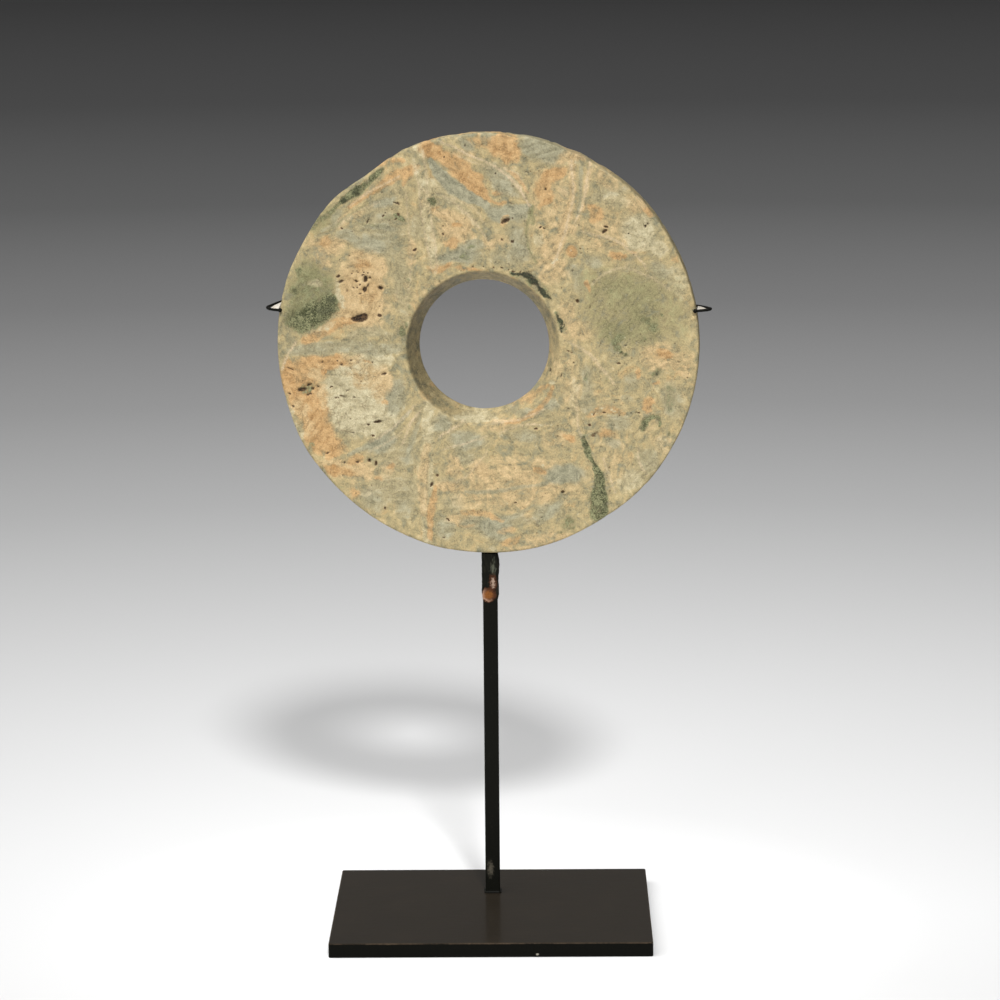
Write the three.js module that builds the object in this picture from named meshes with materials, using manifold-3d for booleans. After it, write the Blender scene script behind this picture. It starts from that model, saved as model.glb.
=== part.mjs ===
// Jade bi disc held upright on a steel stand: millimetres, +Z up, front towards -Y.
// The origin is the middle of the base plate's underside.
import * as THREE from 'three';
import { mergeVertices } from 'three/addons/utils/BufferGeometryUtils.js';
import Module from 'manifold-3d';

// ---------- driving dimensions ----------

const GAP = 0.3;                 // clearance between pieces that touch

const PLATE_WIDTH = 139.7;       // 5 1/2 in
const PLATE_DEPTH = 114.3;       // 4 1/2 in
const PLATE_THICKNESS = 6.35;    // 1/4 in
const PLATE_CORNER = 1.0;
const PLATE_EDGE = 0.35;         // broken arris

const POST_SIDE = 6.5;           // square bar
const POST_Y = 21.9;             // the post stands behind the middle of the plate
const POST_EDGE = 0.5;
const BRAZE_SIDE = 7.3;          // the brazed head is built up round the bar
const BRAZE_HEIGHT = 21;
const BRAZE_EDGE = 1.2;
const WELD_LEG = 1.1;            // fillet weld round the foot

const DISC_RADIUS = 92.65;
const DISC_THICKNESS = 11;
const DISC_CENTRE_Z = 255.4;
const DISC_YAW = -4;             // degrees: the disc is turned a little in its stand
const DISC_SEGMENTS = 144;
const RIM_ROUNDING = 1.1;
const HOLE_FRONT = { radius: 33.9, x: -2.1, z: -1.4 };
const HOLE_BACK = { radius: 28.6, x: -2.1, z: -0.8 };
const HOLE_ROUNDING = 0.8;

const ARM_RADIUS = 1.2;
const ARM_ARC_RADIUS = 80;       // the arms follow this circle behind the ring
const ARM_ARC_START = -78;       // degrees
const ARM_ROOT_X = 1.6;
const ARM_ROOT_LENGTH = 20;
const SHOULDER_BEND = 5;         // height of the bend from arm to prong
const PRONG_RADIUS = 0.65;       // each arm is drawn down to a thin prong
const TIP_LIFT = 0.6;            // the prong's tip is bent up a little
// Height over the disc's axis, slope up towards the back, and reach from the disc's axis to the tip
const PRONGS = { left: { height: 16.6, rise: 0.17, reach: 96.8 }, right: { height: 15.7, rise: 0.04, reach: 97.6 } };
const PRONG_END_RADIUS = 0.95;
const PAD_THICKNESS = 0.8;

// Shallow flats and swellings of the rim, in degrees anticlockwise from +X as seen from the front
const RIM_FLATS = [
  { at: 125, halfWidth: 13, depth: 1.6 },
  { at: 150, halfWidth: 11, depth: 0.45 },
  { at: 116, halfWidth: 3, depth: 0.35 },
  { at: 98, halfWidth: 3, depth: 0.3 },
  { at: 82, halfWidth: 3, depth: 0.3 },
  { at: 68, halfWidth: 4, depth: 0.55 },
  { at: 59, halfWidth: 3.5, depth: 0.5 },
  { at: 302, halfWidth: 20, depth: 0.7 },
  { at: 43, halfWidth: 14, depth: -0.35 },
  { at: 209, halfWidth: 12, depth: -0.6 },
  { at: 255, halfWidth: 10, depth: -0.35 },
];

// ---------- derived positions ----------

const DISC_BACK = DISC_THICKNESS / 2;
const POST_BOTTOM = PLATE_THICKNESS + GAP;
const POST_TOP = DISC_CENTRE_Z - DISC_RADIUS - GAP;
const ARM_Y = DISC_BACK + GAP + ARM_RADIUS;
const ARM_ROOT_Y = BRAZE_SIDE / 2 + GAP + ARM_RADIUS;

// ---------- materials ----------

const jade = new THREE.MeshStandardMaterial({ name: 'jade', color: 0xb9b08a, roughness: 0.55, metalness: 0 });
const blackSteel = new THREE.MeshStandardMaterial({
  name: 'blackened steel', color: 0x1d1b17, roughness: 0.5, metalness: 0.4,
});
const brownSteel = new THREE.MeshStandardMaterial({
  name: 'browned steel', color: 0x38322c, roughness: 0.45, metalness: 0.4,
});
const palePad = new THREE.MeshStandardMaterial({ name: 'pale pad', color: 0xd8d2c2, roughness: 0.8, metalness: 0 });

// ---------- joining solids ----------

const wasm = await Module();
wasm.setup();

function toSolid(geometry) {
  const bare = geometry.clone();
  bare.deleteAttribute('normal');
  bare.deleteAttribute('uv');
  const merged = mergeVertices(bare, 1e-4);
  const mesh = new wasm.Mesh({
    numProp: 3,
    vertProperties: new Float32Array(merged.attributes.position.array),
    triVerts: new Uint32Array(merged.index.array),
  });
  return new wasm.Manifold(mesh);
}

function toGeometry(solid) {
  const mesh = solid.getMesh();
  const geometry = new THREE.BufferGeometry();
  geometry.setAttribute('position', new THREE.BufferAttribute(mesh.vertProperties, 3));
  geometry.setIndex(new THREE.BufferAttribute(mesh.triVerts, 1));
  return geometry;
}

function joined(...geometries) {
  return toGeometry(geometries.map(toSolid).reduce((whole, part) => whole.add(part)));
}

function namedMesh(name, geometry, material) {
  const mesh = new THREE.Mesh(geometry, material);
  mesh.name = name;
  return mesh;
}

// ---------- shapes ----------

function roundedRectangle(width, depth, radius) {
  const shape = new THREE.Shape();
  const [x, y] = [width / 2 - radius, depth / 2 - radius];
  shape.absarc(x, y, radius, 0, Math.PI / 2);
  shape.absarc(-x, y, radius, Math.PI / 2, Math.PI);
  shape.absarc(-x, -y, radius, Math.PI, 1.5 * Math.PI);
  shape.absarc(x, -y, radius, 1.5 * Math.PI, 2 * Math.PI);
  return shape;
}

function bar(side, radius, bottom, height) {
  const geometry = new THREE.ExtrudeGeometry(roundedRectangle(side, side, radius), {
    depth: height, bevelEnabled: false, curveSegments: 3,
  });
  return geometry.translate(0, 0, bottom);
}

function basePlate() {
  const outline = roundedRectangle(PLATE_WIDTH - 2 * PLATE_EDGE, PLATE_DEPTH - 2 * PLATE_EDGE, PLATE_CORNER);
  const geometry = new THREE.ExtrudeGeometry(outline, {
    depth: PLATE_THICKNESS - 2 * PLATE_EDGE, curveSegments: 4,
    bevelThickness: PLATE_EDGE, bevelSize: PLATE_EDGE, bevelSegments: 1,
  });
  return geometry.translate(0, 0, PLATE_EDGE);
}

function footWeld() {
  const corner = Math.SQRT1_2 * POST_SIDE;
  const spread = Math.SQRT2 * WELD_LEG;
  const geometry = new THREE.CylinderGeometry(corner, corner + spread, WELD_LEG, 4);
  geometry.rotateX(Math.PI / 2).rotateZ(Math.PI / 4);
  return geometry.translate(0, 0, POST_BOTTOM + WELD_LEG / 2);
}

function post() {
  const shaft = bar(POST_SIDE, POST_EDGE, POST_BOTTOM, POST_TOP - POST_BOTTOM - GAP);
  const braze = bar(BRAZE_SIDE, BRAZE_EDGE, POST_TOP - BRAZE_HEIGHT, BRAZE_HEIGHT);
  return joined(shaft, braze, footWeld());
}

// ---------- the disc ----------

function quarterRound(centreX, centreY, radius, from, steps) {
  return Array.from({ length: steps + 1 }, (_, i) => {
    const angle = from + (i / steps) * (Math.PI / 2);
    return new THREE.Vector2(centreX + radius * Math.cos(angle), centreY + radius * Math.sin(angle));
  });
}

// Closed section of the ring: x is the distance from the axis, y runs from front to back
function ringSection() {
  const rimX = DISC_RADIUS - RIM_ROUNDING;
  const rimY = DISC_BACK - RIM_ROUNDING;
  const section = [
    ...quarterRound(rimX, -rimY, RIM_ROUNDING, -Math.PI / 2, 4),
    ...quarterRound(rimX, rimY, RIM_ROUNDING, 0, 4),
    new THREE.Vector2(HOLE_BACK.radius + HOLE_ROUNDING, DISC_BACK),
    new THREE.Vector2(HOLE_BACK.radius, DISC_BACK - HOLE_ROUNDING),
    new THREE.Vector2(HOLE_FRONT.radius - HOLE_ROUNDING, HOLE_ROUNDING - DISC_BACK),
    new THREE.Vector2(HOLE_FRONT.radius + HOLE_ROUNDING / 4, -DISC_BACK),
  ];
  return [...section, section[0].clone()];
}

function rimOffset(degrees) {
  const offsets = RIM_FLATS.map(({ at, halfWidth, depth }) => {
    const away = Math.abs(((degrees - at + 540) % 360) - 180);
    return away < halfWidth ? -depth * Math.cos((away / halfWidth) * (Math.PI / 2)) ** 2 : 0;
  });
  return offsets.reduce((sum, offset) => sum + offset, 0);
}

function discRing() {
  const geometry = new THREE.LatheGeometry(ringSection(), DISC_SEGMENTS);
  const position = geometry.attributes.position;
  const middleRadius = (HOLE_FRONT.radius + HOLE_BACK.radius) / 2;
  for (let i = 0; i < position.count; i += 1) {
    const point = new THREE.Vector3().fromBufferAttribute(position, i);
    const radius = Math.hypot(point.x, point.z);
    const angle = Math.atan2(point.z, point.x);
    const towardsRim = THREE.MathUtils.clamp((radius - middleRadius) / (DISC_RADIUS - middleRadius), 0, 1);
    const towardsBack = (point.y + DISC_BACK) / DISC_THICKNESS;
    const offset = rimOffset(THREE.MathUtils.radToDeg(angle)) * towardsRim;
    const shiftX = THREE.MathUtils.lerp(HOLE_FRONT.x, HOLE_BACK.x, towardsBack) * (1 - towardsRim);
    const shiftZ = THREE.MathUtils.lerp(HOLE_FRONT.z, HOLE_BACK.z, towardsBack) * (1 - towardsRim);
    position.setX(i, point.x + offset * Math.cos(angle) + shiftX);
    position.setZ(i, point.z + offset * Math.sin(angle) + shiftZ);
  }
  return geometry;
}

// ---------- the cradle: arms, prongs and pads, round the disc's centre ----------

function rod(points, radius, sides, steps) {
  const section = new THREE.Shape().absarc(0, 0, radius, 0, 2 * Math.PI);
  return new THREE.ExtrudeGeometry(section, {
    steps, curveSegments: sides / 2, bevelEnabled: false, extrudePath: new THREE.CatmullRomCurve3(points),
  });
}

function prongOf(side) {
  return side < 0 ? PRONGS.left : PRONGS.right;
}

function prongPoint(side, out, back, lift = 0) {
  const { height, rise } = prongOf(side);
  return new THREE.Vector3(side * out, back, height + back * rise + lift);
}

function armPoints(side) {
  const bottom = -DISC_RADIUS - GAP;
  const shoulder = prongPoint(side, ARM_ARC_RADIUS + 3, ARM_Y);
  const start = THREE.MathUtils.degToRad(ARM_ARC_START);
  const end = Math.asin((shoulder.z - SHOULDER_BEND) / ARM_ARC_RADIUS);
  const root = [
    new THREE.Vector3(side * ARM_ROOT_X, ARM_ROOT_Y, bottom - ARM_ROOT_LENGTH),
    new THREE.Vector3(side * ARM_ROOT_X, ARM_ROOT_Y, bottom - ARM_ROOT_LENGTH / 2),
    new THREE.Vector3(side * ARM_ROOT_X, ARM_ROOT_Y + 0.5, bottom - 5),
    new THREE.Vector3(side * (ARM_ROOT_X + 0.4), ARM_Y, bottom - 1),
    new THREE.Vector3(side * (ARM_ROOT_X + 1.6), ARM_Y + 0.1, bottom + 4),
  ];
  const arc = Array.from({ length: 12 }, (_, i) => {
    const angle = THREE.MathUtils.lerp(start, end, i / 11);
    return new THREE.Vector3(side * ARM_ARC_RADIUS * Math.cos(angle), ARM_Y, ARM_ARC_RADIUS * Math.sin(angle));
  });
  const bend = new THREE.Vector3(side * (ARM_ARC_RADIUS + 0.3), ARM_Y, shoulder.z - SHOULDER_BEND * 0.3);
  return [...root, ...arc, bend, shoulder, prongPoint(side, ARM_ARC_RADIUS + 5, ARM_Y)];
}

function prongPoints(side) {
  const { reach } = prongOf(side);
  return [
    prongPoint(side, 82, ARM_Y),
    prongPoint(side, 86.5, ARM_Y),
    prongPoint(side, 91, ARM_Y - 0.2),
    prongPoint(side, reach - 3.2, ARM_Y - 3.2),
    prongPoint(side, reach - 1.1, ARM_Y - 8, TIP_LIFT / 2),
    prongPoint(side, reach, -DISC_BACK + 0.8, TIP_LIFT),
    prongPoint(side, reach - 0.7, -DISC_BACK - 0.6, TIP_LIFT * 0.8),
    prongPoint(side, 94, -DISC_BACK - 1.1, TIP_LIFT / 3),
    prongPoint(side, 90.7, -DISC_BACK - 1.4),
  ];
}

function arm(side) {
  const points = prongPoints(side);
  const end = points[points.length - 1];
  const blob = new THREE.SphereGeometry(PRONG_END_RADIUS, 10, 8).translate(end.x, end.y, end.z);
  return joined(rod(armPoints(side), ARM_RADIUS, 10, 64), rod(points, PRONG_RADIUS, 8, 30), blob);
}

function pad(side) {
  const { reach, rise } = prongOf(side);
  const outline = [
    [91.75, 4.6], [reach - 4.5, 3.4], [reach - 2.4, -1], [reach - 1.4, -4.2], [reach - 1.9, -5], [91.75, -5.2],
  ];
  const shape = new THREE.Shape(outline.map(([out, back]) => new THREE.Vector2(side * out, back)));
  const geometry = new THREE.ExtrudeGeometry(shape, { depth: PAD_THICKNESS, bevelEnabled: false });
  geometry.translate(0, 0, -PAD_THICKNESS / 2);
  geometry.rotateX(Math.atan(rise));
  return geometry.translate(0, 0, prongPoint(side, 0, 0).z);
}

// ---------- assembly ----------

const cradle = new THREE.Group();
cradle.position.set(0, POST_Y, DISC_CENTRE_Z);
cradle.rotation.z = THREE.MathUtils.degToRad(DISC_YAW);
cradle.add(namedMesh('bi_disc', discRing(), jade));
cradle.add(namedMesh('left_arm', arm(-1), blackSteel));
cradle.add(namedMesh('right_arm', arm(1), blackSteel));
cradle.add(namedMesh('left_pad', pad(-1), palePad));
cradle.add(namedMesh('right_pad', pad(1), palePad));

const upright = namedMesh('post', post(), blackSteel);
upright.position.y = POST_Y;

const discOnStand = new THREE.Group();
discOnStand.add(namedMesh('base_plate', basePlate(), brownSteel), upright, cradle);

export default discOnStand;
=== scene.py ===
"""Jade bi disc standing on its welded steel stand.

The stone ring, base plate, post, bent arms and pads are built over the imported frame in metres
and dressed in procedural finishes. Sizes below are in millimetres unless a name says otherwise.
"""
import logging
import math
from dataclasses import dataclass, field
from enum import Enum
from typing import Any, Iterable, Sequence

import bmesh
import bpy
import numpy as np
from mathutils import Matrix, Vector


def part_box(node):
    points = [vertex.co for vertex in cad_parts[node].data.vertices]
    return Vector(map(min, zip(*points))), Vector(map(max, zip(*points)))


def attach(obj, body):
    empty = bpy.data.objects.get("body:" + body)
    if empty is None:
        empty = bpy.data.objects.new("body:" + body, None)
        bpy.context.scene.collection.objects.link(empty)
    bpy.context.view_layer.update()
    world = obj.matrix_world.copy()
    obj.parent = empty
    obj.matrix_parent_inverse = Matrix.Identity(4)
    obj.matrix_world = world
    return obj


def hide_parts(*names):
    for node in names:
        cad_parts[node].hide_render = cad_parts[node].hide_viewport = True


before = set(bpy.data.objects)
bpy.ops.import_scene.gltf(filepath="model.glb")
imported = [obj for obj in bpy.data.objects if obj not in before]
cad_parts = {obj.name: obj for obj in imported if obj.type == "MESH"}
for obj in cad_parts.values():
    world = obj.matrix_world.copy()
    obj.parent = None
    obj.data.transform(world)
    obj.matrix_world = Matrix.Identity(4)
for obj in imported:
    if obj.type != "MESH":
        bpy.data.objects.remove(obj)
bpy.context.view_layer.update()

logging.basicConfig(level=logging.INFO, format="%(message)s")
log = logging.getLogger("bi_disc")

MM = 0.001
GAP = 0.3
BODY = "root"
Points = np.ndarray
Triple = tuple[float, float, float]
Colour = Triple


def linear(red: int, green: int, blue: int) -> Colour:
    """Turn a display colour (0 to 255) into the linear colour that a shader takes."""
    def channel(value: int) -> float:
        """Decode one channel."""
        share = value / 255
        return share / 12.92 if share <= 0.04045 else ((share + 0.055) / 1.055) ** 2.4
    return channel(red), channel(green), channel(blue)


def smoothstep(low: float, high: float, values: np.ndarray) -> np.ndarray:
    """Ease from 0 at low to 1 at high."""
    share = np.clip((values - low) / (high - low), 0.0, 1.0)
    return share * share * (3 - 2 * share)


# ---------- noise for mesh work ----------

class Lattice:
    """Gradient noise on a cubic lattice, the same on every run."""

    def __init__(self, seed: int) -> None:
        """Draw the lattice's directions.

        Args:
            seed: fixed number that names this noise.
        """
        rng = np.random.default_rng(seed)
        self.order = np.tile(rng.permutation(256), 2)
        ways = rng.normal(size=(256, 3))
        self.ways = ways / np.linalg.norm(ways, axis=1)[:, None]

    def at(self, points: Points) -> np.ndarray:
        """Sample the noise, about -1 to 1.

        Args:
            points: places in lattice cells, one row each.

        Returns:
            One value for each row.
        """
        cell = np.floor(points).astype(int)
        inside = points - cell
        fade = inside ** 3 * (inside * (inside * 6 - 15) + 10)
        total = np.zeros(len(points))
        for corner in np.ndindex(2, 2, 2):
            at = (cell + corner) & 255
            way = self.ways[self.order[self.order[self.order[at[:, 0]] + at[:, 1]] + at[:, 2]]]
            weight = np.prod(np.where(corner, fade, 1 - fade), axis=1)
            total += weight * np.einsum("ij,ij->i", way, inside - corner)
        return total * 1.6

    def cloud(self, points: Points, size: float, octaves: int = 3, gain: float = 0.5) -> np.ndarray:
        """Sum octaves of noise.

        Args:
            points: places in millimetres.
            size: the largest feature, in millimetres.
            octaves: how many halvings of the feature size are added.
            gain: how much of its strength each octave keeps.

        Returns:
            One value for each place, about -1 to 1.
        """
        total = np.zeros(len(points))
        for octave in range(octaves):
            total += gain ** octave * self.at(points * 2.0 ** octave / size + 17.3 * octave)
        return total / sum(gain ** octave for octave in range(octaves))


# ---------- mesh helpers ----------

def smooth_path(points: Sequence[Sequence[float]], step: float) -> Points:
    """Run a centripetal Catmull-Rom curve through points and space it evenly.

    Args:
        points: control points, of two or three numbers each.
        step: distance between the points that come back.

    Returns:
        Points along the curve, one row each.
    """
    knots = np.array(points, float)
    knots = np.vstack([2 * knots[0] - knots[1], knots, 2 * knots[-1] - knots[-2]])
    gaps = np.maximum(np.linalg.norm(np.diff(knots, axis=0), axis=1) ** 0.5, 1e-6)
    times = np.concatenate([[0], np.cumsum(gaps)])
    dense = [knots[1]]
    for i in range(1, len(knots) - 2):
        t0, t1, t2, t3 = times[i - 1:i + 3]
        p0, p1, p2, p3 = knots[i - 1:i + 3]
        for t in np.linspace(t1, t2, 13)[1:]:
            a1 = p0 + (p1 - p0) * (t - t0) / (t1 - t0)
            a2 = p1 + (p2 - p1) * (t - t1) / (t2 - t1)
            a3 = p2 + (p3 - p2) * (t - t2) / (t3 - t2)
            b1 = a1 + (a2 - a1) * (t - t0) / (t2 - t0)
            b2 = a2 + (a3 - a2) * (t - t1) / (t3 - t1)
            dense.append(b1 + (b2 - b1) * (t - t1) / (t2 - t1))
    line = np.array(dense)
    along = np.concatenate([[0], np.cumsum(np.linalg.norm(np.diff(line, axis=0), axis=1))])
    marks = np.linspace(0, along[-1], max(2, int(round(along[-1] / step)) + 1))
    return np.stack([np.interp(marks, along, line[:, k]) for k in range(line.shape[1])], axis=1)


def new_object(name: str, points: Points, faces: Iterable[Sequence[int]]) -> bpy.types.Object:
    """Make a smooth-shaded mesh object at the origin.

    Args:
        name: the piece's name.
        points: places in metres, one row each.
        faces: rows of point numbers.

    Returns:
        The linked object.
    """
    mesh = bpy.data.meshes.new(name)
    mesh.from_pydata(points.tolist(), [], [list(face) for face in faces])
    mesh.validate()
    mesh.polygons.foreach_set("use_smooth", [True] * len(mesh.polygons))
    mesh.update()
    piece = bpy.data.objects.new(name, mesh)
    bpy.context.scene.collection.objects.link(piece)
    return piece


def set_values(piece: bpy.types.Object, name: str, values: np.ndarray) -> None:
    """Store one number for each point of a mesh, for its finish to read."""
    layer = piece.data.attributes.new(name, "FLOAT", "POINT")
    layer.data.foreach_set("value", values.astype(np.float32))


def outward(points: Points, triangles: np.ndarray) -> np.ndarray:
    """Turn a closed shell's triangles to face outwards."""
    a, b, c = (points[triangles[:, k]] for k in range(3))
    volume = np.einsum("ij,ij->", a, np.cross(b, c))
    return triangles if volume > 0 else triangles[:, ::-1]


def loft(name: str, loops: Sequence[Points]) -> bpy.types.Object:
    """Skin a stack of equal loops and close both ends with flat faces.

    Args:
        name: the piece's name.
        loops: closed loops in metres, anticlockwise from above, lowest first.

    Returns:
        The linked object.
    """
    count = len(loops[0])
    faces: list[Sequence[int]] = [list(range(count))[::-1]]
    for level in range(len(loops) - 1):
        low, high = level * count, (level + 1) * count
        faces += [(low + i, low + (i + 1) % count, high + (i + 1) % count, high + i) for i in range(count)]
    faces.append(list(range((len(loops) - 1) * count, len(loops) * count)))
    piece = new_object(name, np.vstack(loops), faces)
    piece.data.polygons[0].use_smooth = False
    piece.data.polygons[-1].use_smooth = False
    return piece


def rounded_rectangle(width: float, depth: float, radius: float, corner: int, side: float) -> Points:
    """Outline a rectangle with round corners.

    Args:
        width: size along X.
        depth: size along Y.
        radius: corner radius.
        corner: steps in each corner.
        side: longest step along a straight side.

    Returns:
        Points of the outline, anticlockwise, two numbers each.
    """
    half = np.array([width / 2 - radius, depth / 2 - radius])
    outline: list[np.ndarray] = []
    for quarter, signs in enumerate(((1, 1), (-1, 1), (-1, -1), (1, -1))):
        angles = np.linspace(0, math.pi / 2, corner + 1) + quarter * math.pi / 2
        arc = half * signs + radius * np.stack([np.cos(angles), np.sin(angles)], axis=1)
        if outline:
            outline.append(straight(outline[-1][-1], arc[0], side))
        outline.append(arc)
    outline.append(straight(outline[-1][-1], outline[0][0], side))
    return np.vstack(outline)


def straight(start: Points, end: Points, step: float) -> Points:
    """Space points between two others, leaving both ends out."""
    count = max(1, int(math.ceil(np.linalg.norm(end - start) / step)))
    shares = np.linspace(0, 1, count + 1)[1:-1, None]
    return start + (end - start) * shares


# ---------- shader graphs ----------

class Wire:
    """An output socket that takes part in Python arithmetic."""

    def __init__(self, graph: "Graph", socket: bpy.types.NodeSocket) -> None:
        """Hold a socket of a graph."""
        self.graph = graph
        self.socket = socket

    def _math(self, operation: str, first: Any, second: Any = 0.0) -> "Wire":
        """Add one Math node."""
        return self.graph.node("ShaderNodeMath", {"operation": operation}, {0: first, 1: second})

    def __add__(self, other: Any) -> "Wire":
        """Add."""
        return self._math("ADD", self, other)

    __radd__ = __add__

    def __sub__(self, other: Any) -> "Wire":
        """Subtract."""
        return self._math("SUBTRACT", self, other)

    def __rsub__(self, other: Any) -> "Wire":
        """Subtract this from a number."""
        return self._math("SUBTRACT", other, self)

    def __mul__(self, other: Any) -> "Wire":
        """Multiply."""
        return self._math("MULTIPLY", self, other)

    __rmul__ = __mul__

    def __truediv__(self, other: Any) -> "Wire":
        """Divide."""
        return self._math("DIVIDE", self, other)

    def between(self, low: float, high: float, start: float = 0.0, end: float = 1.0) -> "Wire":
        """Ease from start at low to end at high.

        Args:
            low: where the change begins.
            high: where it ends.
            start: value up to low.
            end: value from high on.

        Returns:
            The eased value.
        """
        settings = {"interpolation_type": "SMOOTHSTEP", "clamp": True}
        return self.graph.node("ShaderNodeMapRange", settings, {0: self, 1: low, 2: high, 3: start, 4: end})


class Graph:
    """A material's node tree, built by calls."""

    def __init__(self, name: str) -> None:
        """Start an empty material."""
        self.material = bpy.data.materials.new(name)
        self.material.use_nodes = True
        self.tree = self.material.node_tree
        self.tree.nodes.clear()

    def node(self, kind: str, settings: dict[str, Any] | None = None,
             sockets: dict[int | str, Any] | None = None, out: int | str = 0) -> Wire:
        """Add a node.

        Args:
            kind: the node's type name.
            settings: properties set first; "stops" fills a ramp with (place, colour) pairs.
            sockets: a value or a Wire for each input, by number or name.
            out: the output that comes back, by number or name.

        Returns:
            The chosen output.
        """
        made = self.tree.nodes.new(kind)
        for key, value in (settings or {}).items():
            if key == "stops":
                self._fill_ramp(made.color_ramp, value)
            else:
                setattr(made, key, value)
        for key, value in (sockets or {}).items():
            if isinstance(value, Wire):
                self.tree.links.new(value.socket, made.inputs[key])
            elif isinstance(value, tuple) and made.inputs[key].type == "RGBA":
                made.inputs[key].default_value = (*value, 1.0)
            else:
                made.inputs[key].default_value = value
        return Wire(self, made.outputs[out])

    @staticmethod
    def _fill_ramp(ramp: bpy.types.ColorRamp, stops: Sequence[tuple[float, Colour]]) -> None:
        """Set a ramp's stops."""
        while len(ramp.elements) < len(stops):
            ramp.elements.new(0.5)
        for element, (place, colour) in zip(ramp.elements, stops):
            element.position = place
            element.color = (*colour, 1.0)

    def mix(self, first: Any, second: Any, share: Any) -> Wire:
        """Blend two colours by a share from 0 to 1."""
        sockets = {0: share, 6: first, 7: second}
        return self.node("ShaderNodeMix", {"data_type": "RGBA", "clamp_factor": True}, sockets, 2)

    def tone(self, colour: Any, amount: Wire) -> Wire:
        """Brighten or darken a colour by a factor around 1."""
        return self.node("ShaderNodeVectorMath", {"operation": "SCALE"}, {0: colour, 3: amount})

    def place(self) -> Wire:
        """Give the point in the object's own coordinates, in metres."""
        return self.node("ShaderNodeTexCoord", out="Object")

    def turned(self, place: Wire, degrees: Triple, scale: Triple) -> Wire:
        """Turn and stretch a place, for grain that runs one way."""
        turn = tuple(math.radians(angle) for angle in degrees)
        return self.node("ShaderNodeMapping", {}, {"Vector": place, "Rotation": turn, "Scale": scale})

    def noise(self, place: Wire, size: float, detail: float = 3.0, rough: float = 0.55,
              bend: float = 0.0) -> Wire:
        """Add cloud noise, centred on zero.

        Args:
            place: coordinates in metres.
            size: feature size in millimetres.
            detail: octaves.
            rough: strength of each finer octave.
            bend: distortion.

        Returns:
            Noise, mostly from -0.5 to 0.5.
        """
        sockets = {"Vector": place, "Scale": 1 / (size * MM), "Detail": detail, "Roughness": rough,
                   "Distortion": bend}
        return (self.node("ShaderNodeTexNoise", {}, sockets, "Fac") - 0.5) * 2.4

    def threads(self, place: Wire, size: float, bend: float, width: float) -> Wire:
        """Add fine winding lines.

        Args:
            place: coordinates in metres.
            size: spacing of the lines in millimetres.
            bend: how much they wind.
            width: share of the spacing that a line takes.

        Returns:
            1 on a line and 0 between lines.
        """
        cloud = self.noise(place, size, 2, 0.55, bend)
        away = self.node("ShaderNodeMath", {"operation": "ABSOLUTE"}, {0: cloud})
        return away.between(width * 0.3, width, 1, 0)

    def value(self, name: str) -> Wire:
        """Read a number stored on the mesh."""
        return self.node("ShaderNodeAttribute", {"attribute_name": name}, out="Fac")

    def spot(self, place: Wire, centre: Triple, stretch: Triple, shift: Triple = (0, 0, 0)) -> Wire:
        """Measure the distance from a centre, in units of a stretched radius.

        Args:
            place: coordinates in metres.
            centre: the spot's centre in metres.
            stretch: the spot's radius along each axis, in metres.
            shift: how far to move the centre, in metres.

        Returns:
            0 at the centre and 1 at the spot's edge.
        """
        moved = tuple(here + by for here, by in zip(centre, shift))
        offset = self.node("ShaderNodeVectorMath", {"operation": "SUBTRACT"}, {0: place, 1: moved})
        scaled = self.node("ShaderNodeVectorMath", {"operation": "DIVIDE"}, {0: offset, 1: stretch})
        return self.node("ShaderNodeVectorMath", {"operation": "LENGTH"}, {0: scaled}, "Value")

    def finish(self, fixed: dict[str, Any], height: Wire | None = None,
               depth: float = 0.0) -> bpy.types.Material:
        """Close the graph with a principled surface.

        Args:
            fixed: values and wires for the surface's sockets.
            height: relief in units of depth, if any.
            depth: height of one unit of relief, in metres.

        Returns:
            The finished material.
        """
        sockets = dict(fixed)
        if height is not None:
            relief = {"Strength": 1.0, "Distance": depth, "Height": height}
            sockets["Normal"] = self.node("ShaderNodeBump", {}, relief)
        surface = self.node("ShaderNodeBsdfPrincipled", {}, sockets)
        output = self.tree.nodes.new("ShaderNodeOutputMaterial")
        self.tree.links.new(surface.socket, output.inputs["Surface"])
        return self.material


# ---------- what the stone shows, placed on its front face ----------

class Tint(Enum):
    """The stone's colours over its tan ground, in the order in which its finish lays them."""
    BLUE = "blue_grey"
    OCHRE = "ochre"
    PEACH = "peach"
    CREAM = "cream"
    OLIVE = "olive"
    THREAD = "pale_thread"
    MOSS = "moss"
    DARK = "black_green"
    PIT = "pit_brown"


@dataclass(frozen=True)
class Patch:
    """A stain: an ellipse with ragged edges. Places are in mm from the disc's axis, x right and z up."""
    tint: Tint
    x: float
    z: float
    half_length: float
    half_width: float
    tilt: float = 0.0
    amount: float = 0.6
    softness: float = 0.45
    depth: float = 0.0

    def cover(self, x: np.ndarray, z: np.ndarray) -> np.ndarray:
        """Give the patch's share at each place."""
        along = Vector((math.cos(math.radians(self.tilt)), math.sin(math.radians(self.tilt))))
        u = (x - self.x) * along.x + (z - self.z) * along.y
        v = (z - self.z) * along.x - (x - self.x) * along.y
        away = np.hypot(u / self.half_length, v / self.half_width)
        return self.amount * (1 - smoothstep(1 - self.softness, 1 + self.softness, away))


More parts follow.
